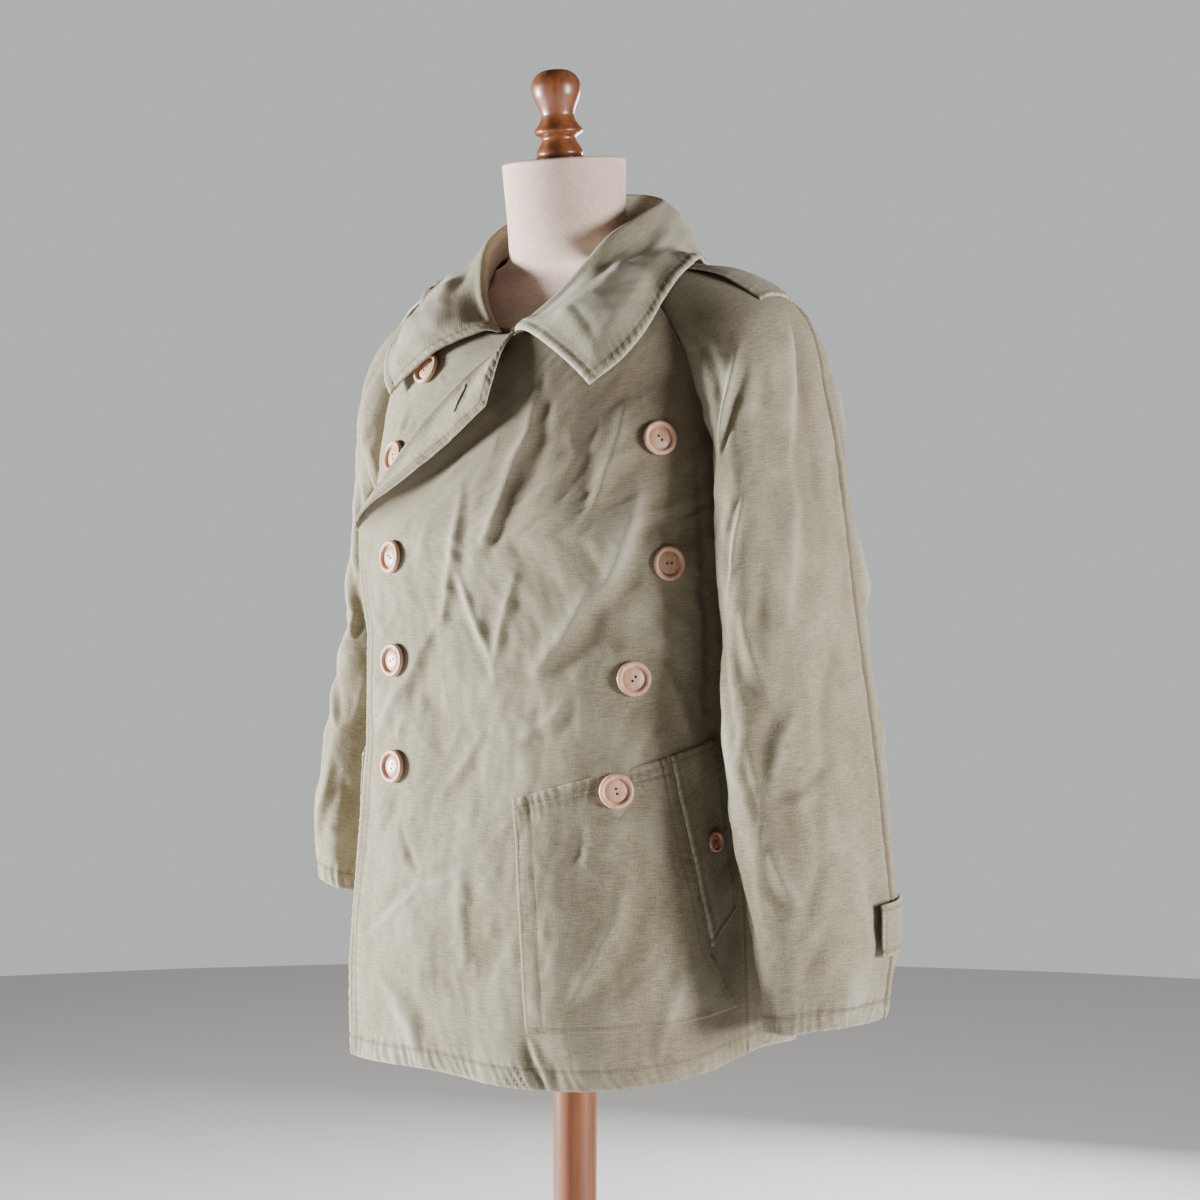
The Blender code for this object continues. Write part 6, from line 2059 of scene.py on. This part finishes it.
@dataclass
class Studio:
    """Pale floor, soft light and the camera."""

    azimuth: float = math.radians(38)
    distance: float = 2.4
    eye: float = 1.15
    lens: float = 78.48
    shift: Point = (0.0208, -0.0375)
    ambience: float = 0.12
    surroundings: Triple = (1.0, 0.86, 0.73)
    backdrop: Triple = (0.56, 0.57, 0.57)
    softboxes: tuple[Softbox, ...] = (
        Softbox("key_softbox", (-2.30, -1.42, 0.98), 0.7, 350.0, (0.95, 0.98, 1.0),
                (0.0, 0.0, 0.98)),
        Softbox("side_softbox", (2.70, 0.32, 1.10), 1.0, 125.0, (0.97, 0.98, 1.0),
                (0.0, 0.0, 1.0)),
        Softbox("back_softbox", (-0.9, 2.7, 1.25), 1.4, 100.0, (0.98, 0.98, 1.0)))

    def floor(self) -> None:
        """Plain pale floor."""
        mesh = lathe("floor", [(0.0, -0.0004), (5.0, -0.0004), (5.0, -0.02), (0.0, -0.02)], 64)
        material, graph, shader = new_finish("pale_floor")
        graph.fill(shader, {"Base Color": (0.55, 0.55, 0.54, 1.0), "Roughness": 0.9,
                            "Emission Color": (1.0, 0.99, 0.97, 1.0), "Emission Strength": 0.20})
        new_piece("floor", mesh, material)

    def light(self) -> None:
        """Even pale surroundings and the softboxes."""
        world = bpy.data.worlds.new("studio")
        world.use_nodes = True
        graph, nodes = Graph(world.node_tree), world.node_tree.nodes
        around = nodes["Background"]
        graph.fill(around, {"Color": (*self.surroundings, 1.0), "Strength": self.ambience})
        seen = graph.node("Background", {"Color": (*self.backdrop, 1.0)})
        mixed = graph.node("MixShader", {0: graph.node("LightPath").outputs["Is Camera Ray"],
                                         1: around.outputs[0], 2: seen.outputs[0]})
        graph.fill(nodes["World Output"], {0: mixed.outputs[0]})
        bpy.context.scene.world = world
        for softbox in self.softboxes:
            softbox.hang()

    def camera(self) -> None:
        """Camera in front, a little to the wearer's left."""
        lens = bpy.data.cameras.new("camera")
        lens.lens, lens.sensor_width = self.lens, 36.0
        lens.shift_x, lens.shift_y = self.shift
        holder = link(bpy.data.objects.new("camera", lens))
        holder.location = (self.distance * math.sin(self.azimuth),
                           -self.distance * math.cos(self.azimuth), self.eye)
        holder.rotation_euler = (math.pi / 2, 0.0, self.azimuth)
        bpy.context.scene.camera = holder


# ---- the whole
def declare(piece: Object, node: str = "") -> None:
    """Say that a piece rides the root, which node it replaces, if any."""
    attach(piece, "root")
    if node:
        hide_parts(node)


@dataclass
class Jacket:
    """The jacket, its buttons and threads."""

    effects: Effects
    stains: tuple[Triple, ...] = ((0.142, 4.95, 0.0030), (0.242, 7.25, 0.0026), (0.120, 5.20, 0.0016))

    def __post_init__(self) -> None:
        """Mix the finishes."""
        effects = self.effects
        self.finishes = {
            "canvas": CanvasFinish("canvas_single").material(effects),
            "folded_canvas": CanvasFinish("canvas_folded", deep=(0.155, 0.128, 0.072),
                                          pale=(0.390, 0.348, 0.248)).material(effects)}
        self.thread = ThreadFinish("khaki_thread", (0.19, 0.165, 0.11),
                                   (0.36, 0.33, 0.25)).material(effects)
        self.dark_thread = ThreadFinish("brown_thread", (0.075, 0.050, 0.030),
                                        (0.26, 0.21, 0.15)).material(effects)
        self.stitches = StitchTree()

    def sew(self, cloth: Cloth, slot: str, held: str, rests_on: Sequence[str]) -> None:
        """Finish one piece of cloth, stitch it, declare it and log its cut.

        Args:
            cloth: the piece, named after its node.
            slot: its material slot.
            held: how it is held; not used.
            rests_on: what it lies on or hangs from; not used.
        """
        node = cloth.name.removesuffix("_cloth")
        piece = cloth.shell(self.finishes[slot])
        declare(piece, node)
        going_with = []
        if cloth.rows:
            going_with.append(self.stitches.lay(node + "_stitches", stitch_places(cloth), self.thread,
                                                seed=cloth.seed))
            declare(going_with[0])
        width, length, area = cloth.cut()
        LOG.info("%s: cut %.3f x %.3f m, %.4f m2, %d triangles", node, width, length, area,
                 sum(len(polygon.vertices) - 2 for polygon in piece.data.polygons))

    def build(self) -> None:
        """Cut, lay and sew every piece."""
        body = BodyPanels()
        arms = (Arm("left", LEFT_SLEEVE, LEFT_ARM_FOLDS, BACK_ARM_FOLDS, 61, stains=self.stains),
                Arm("right", RIGHT_SLEEVE, RIGHT_ARM_FOLDS, BACK_ARM_FOLDS, 71))
        straps = [arm.strap() for arm in arms]
        panels = [body.left.cloth, body.right.cloth, body.back.cloth]
        halves = [half for arm in arms for half in arm.halves]
        pockets = Pockets(body).pieces
        for cloth in panels:
            self.sew(cloth, "canvas", "hung", ["form_body"])
        for cloth in halves:
            self.sew(cloth, "canvas", "hung", [cloth.name.split("_")[0] + "_front", "back"])
        for cloth in straps:
            self.sew(cloth, "folded_canvas", "laid", [cloth.name.split("_")[0] + "_sleeve_front"])
        for arm in arms:
            self.sew(arm.cuff_strap(), "folded_canvas", "laid", [arm.name + "_sleeve_back"])
        for name, cloth in pockets.items():
            self.sew(cloth, "canvas", "laid", [name.split("_")[0] + "_front"])
        self.sew(Collar(panels + halves + straps).cloth, "folded_canvas", "folded",
                 ["left_front", "right_front", "back"])
        lapel = Lapel()
        declare(self.stitches.lay("lapel_buttonhole", lapel.whipping(), self.dark_thread, 0.0026,
                                  0.0007, 5))
        self.sew(lapel.cloth, "canvas", "folded", ["left_front"])
        self.sew(neck_tab(), "canvas", "laid", ["left_front"])
        self.button(body, pockets)

    def button(self, body: BodyPanels, pockets: dict[str, Cloth]) -> None:
        """Sew on the buttons."""
        tan = WoodFinish("tan_button", (0.50, 0.27, 0.165), (0.74, 0.47, 0.33), 260.0, 60.0, 0.42,
                         0.10).material(self.effects)
        red = WoodFinish("red_button", (0.46, 0.19, 0.125), (0.76, 0.42, 0.30), 260.0, 60.0, 0.38,
                         0.15).material(self.effects)
        carriers = [body.right.cloth] * 2 + [body.left.cloth] * 6 + [pockets["left_pocket"]]
        for number, carrier in enumerate(carriers, start=1):
            name = f"front_button_{number}"
            self.place(Button(name + "_turned", name, ButtonKind.LARGE, 0.9 * number, tan,
                              self.thread), carrier, "tan_button")
        for side in ("left", "right"):
            name = side + "_flap_button"
            self.place(Button(name + "_turned", name, ButtonKind.SMALL, 0.4, red, self.thread),
                       pockets[side + "_pocket_flap"], "red_button", side == "left")

    @staticmethod
    def place(button: Button, carrier: Cloth, slot: str, loose: bool = False) -> None:
        """Seat one button and let it replace its node."""
        turned, thread = button.seat(carrier, loose)
        declare(turned, button.node)
        declare(thread)


def build_form(effects: Effects) -> None:
    """The form and the stand."""
    linen = LinenFinish("form_linen").material(effects)
    wood = WoodFinish("varnished_wood", (0.110, 0.030, 0.010), (0.290, 0.098, 0.034), 150.0, 5.0,
                      0.34, 0.30).material(effects)
    stand = Stand()
    declare(Form().body(linen), "form_body")
    for piece, node in ((stand.finial(wood), "form_finial"), (stand.pole(wood), "stand_pole"),
                        (stand.base(wood), "stand_base")):
        declare(piece, node)


def main() -> None:
    """Build the jacket, its form and the studio, in that order."""
    logging.basicConfig(level=logging.INFO, format="%(message)s")
    effects = Effects()
    Jacket(effects).build()
    LOG.info("jacket sewn")
    build_form(effects)
    studio = Studio()
    studio.floor()
    studio.light()
    studio.camera()


if __name__ == "__main__":
    main()
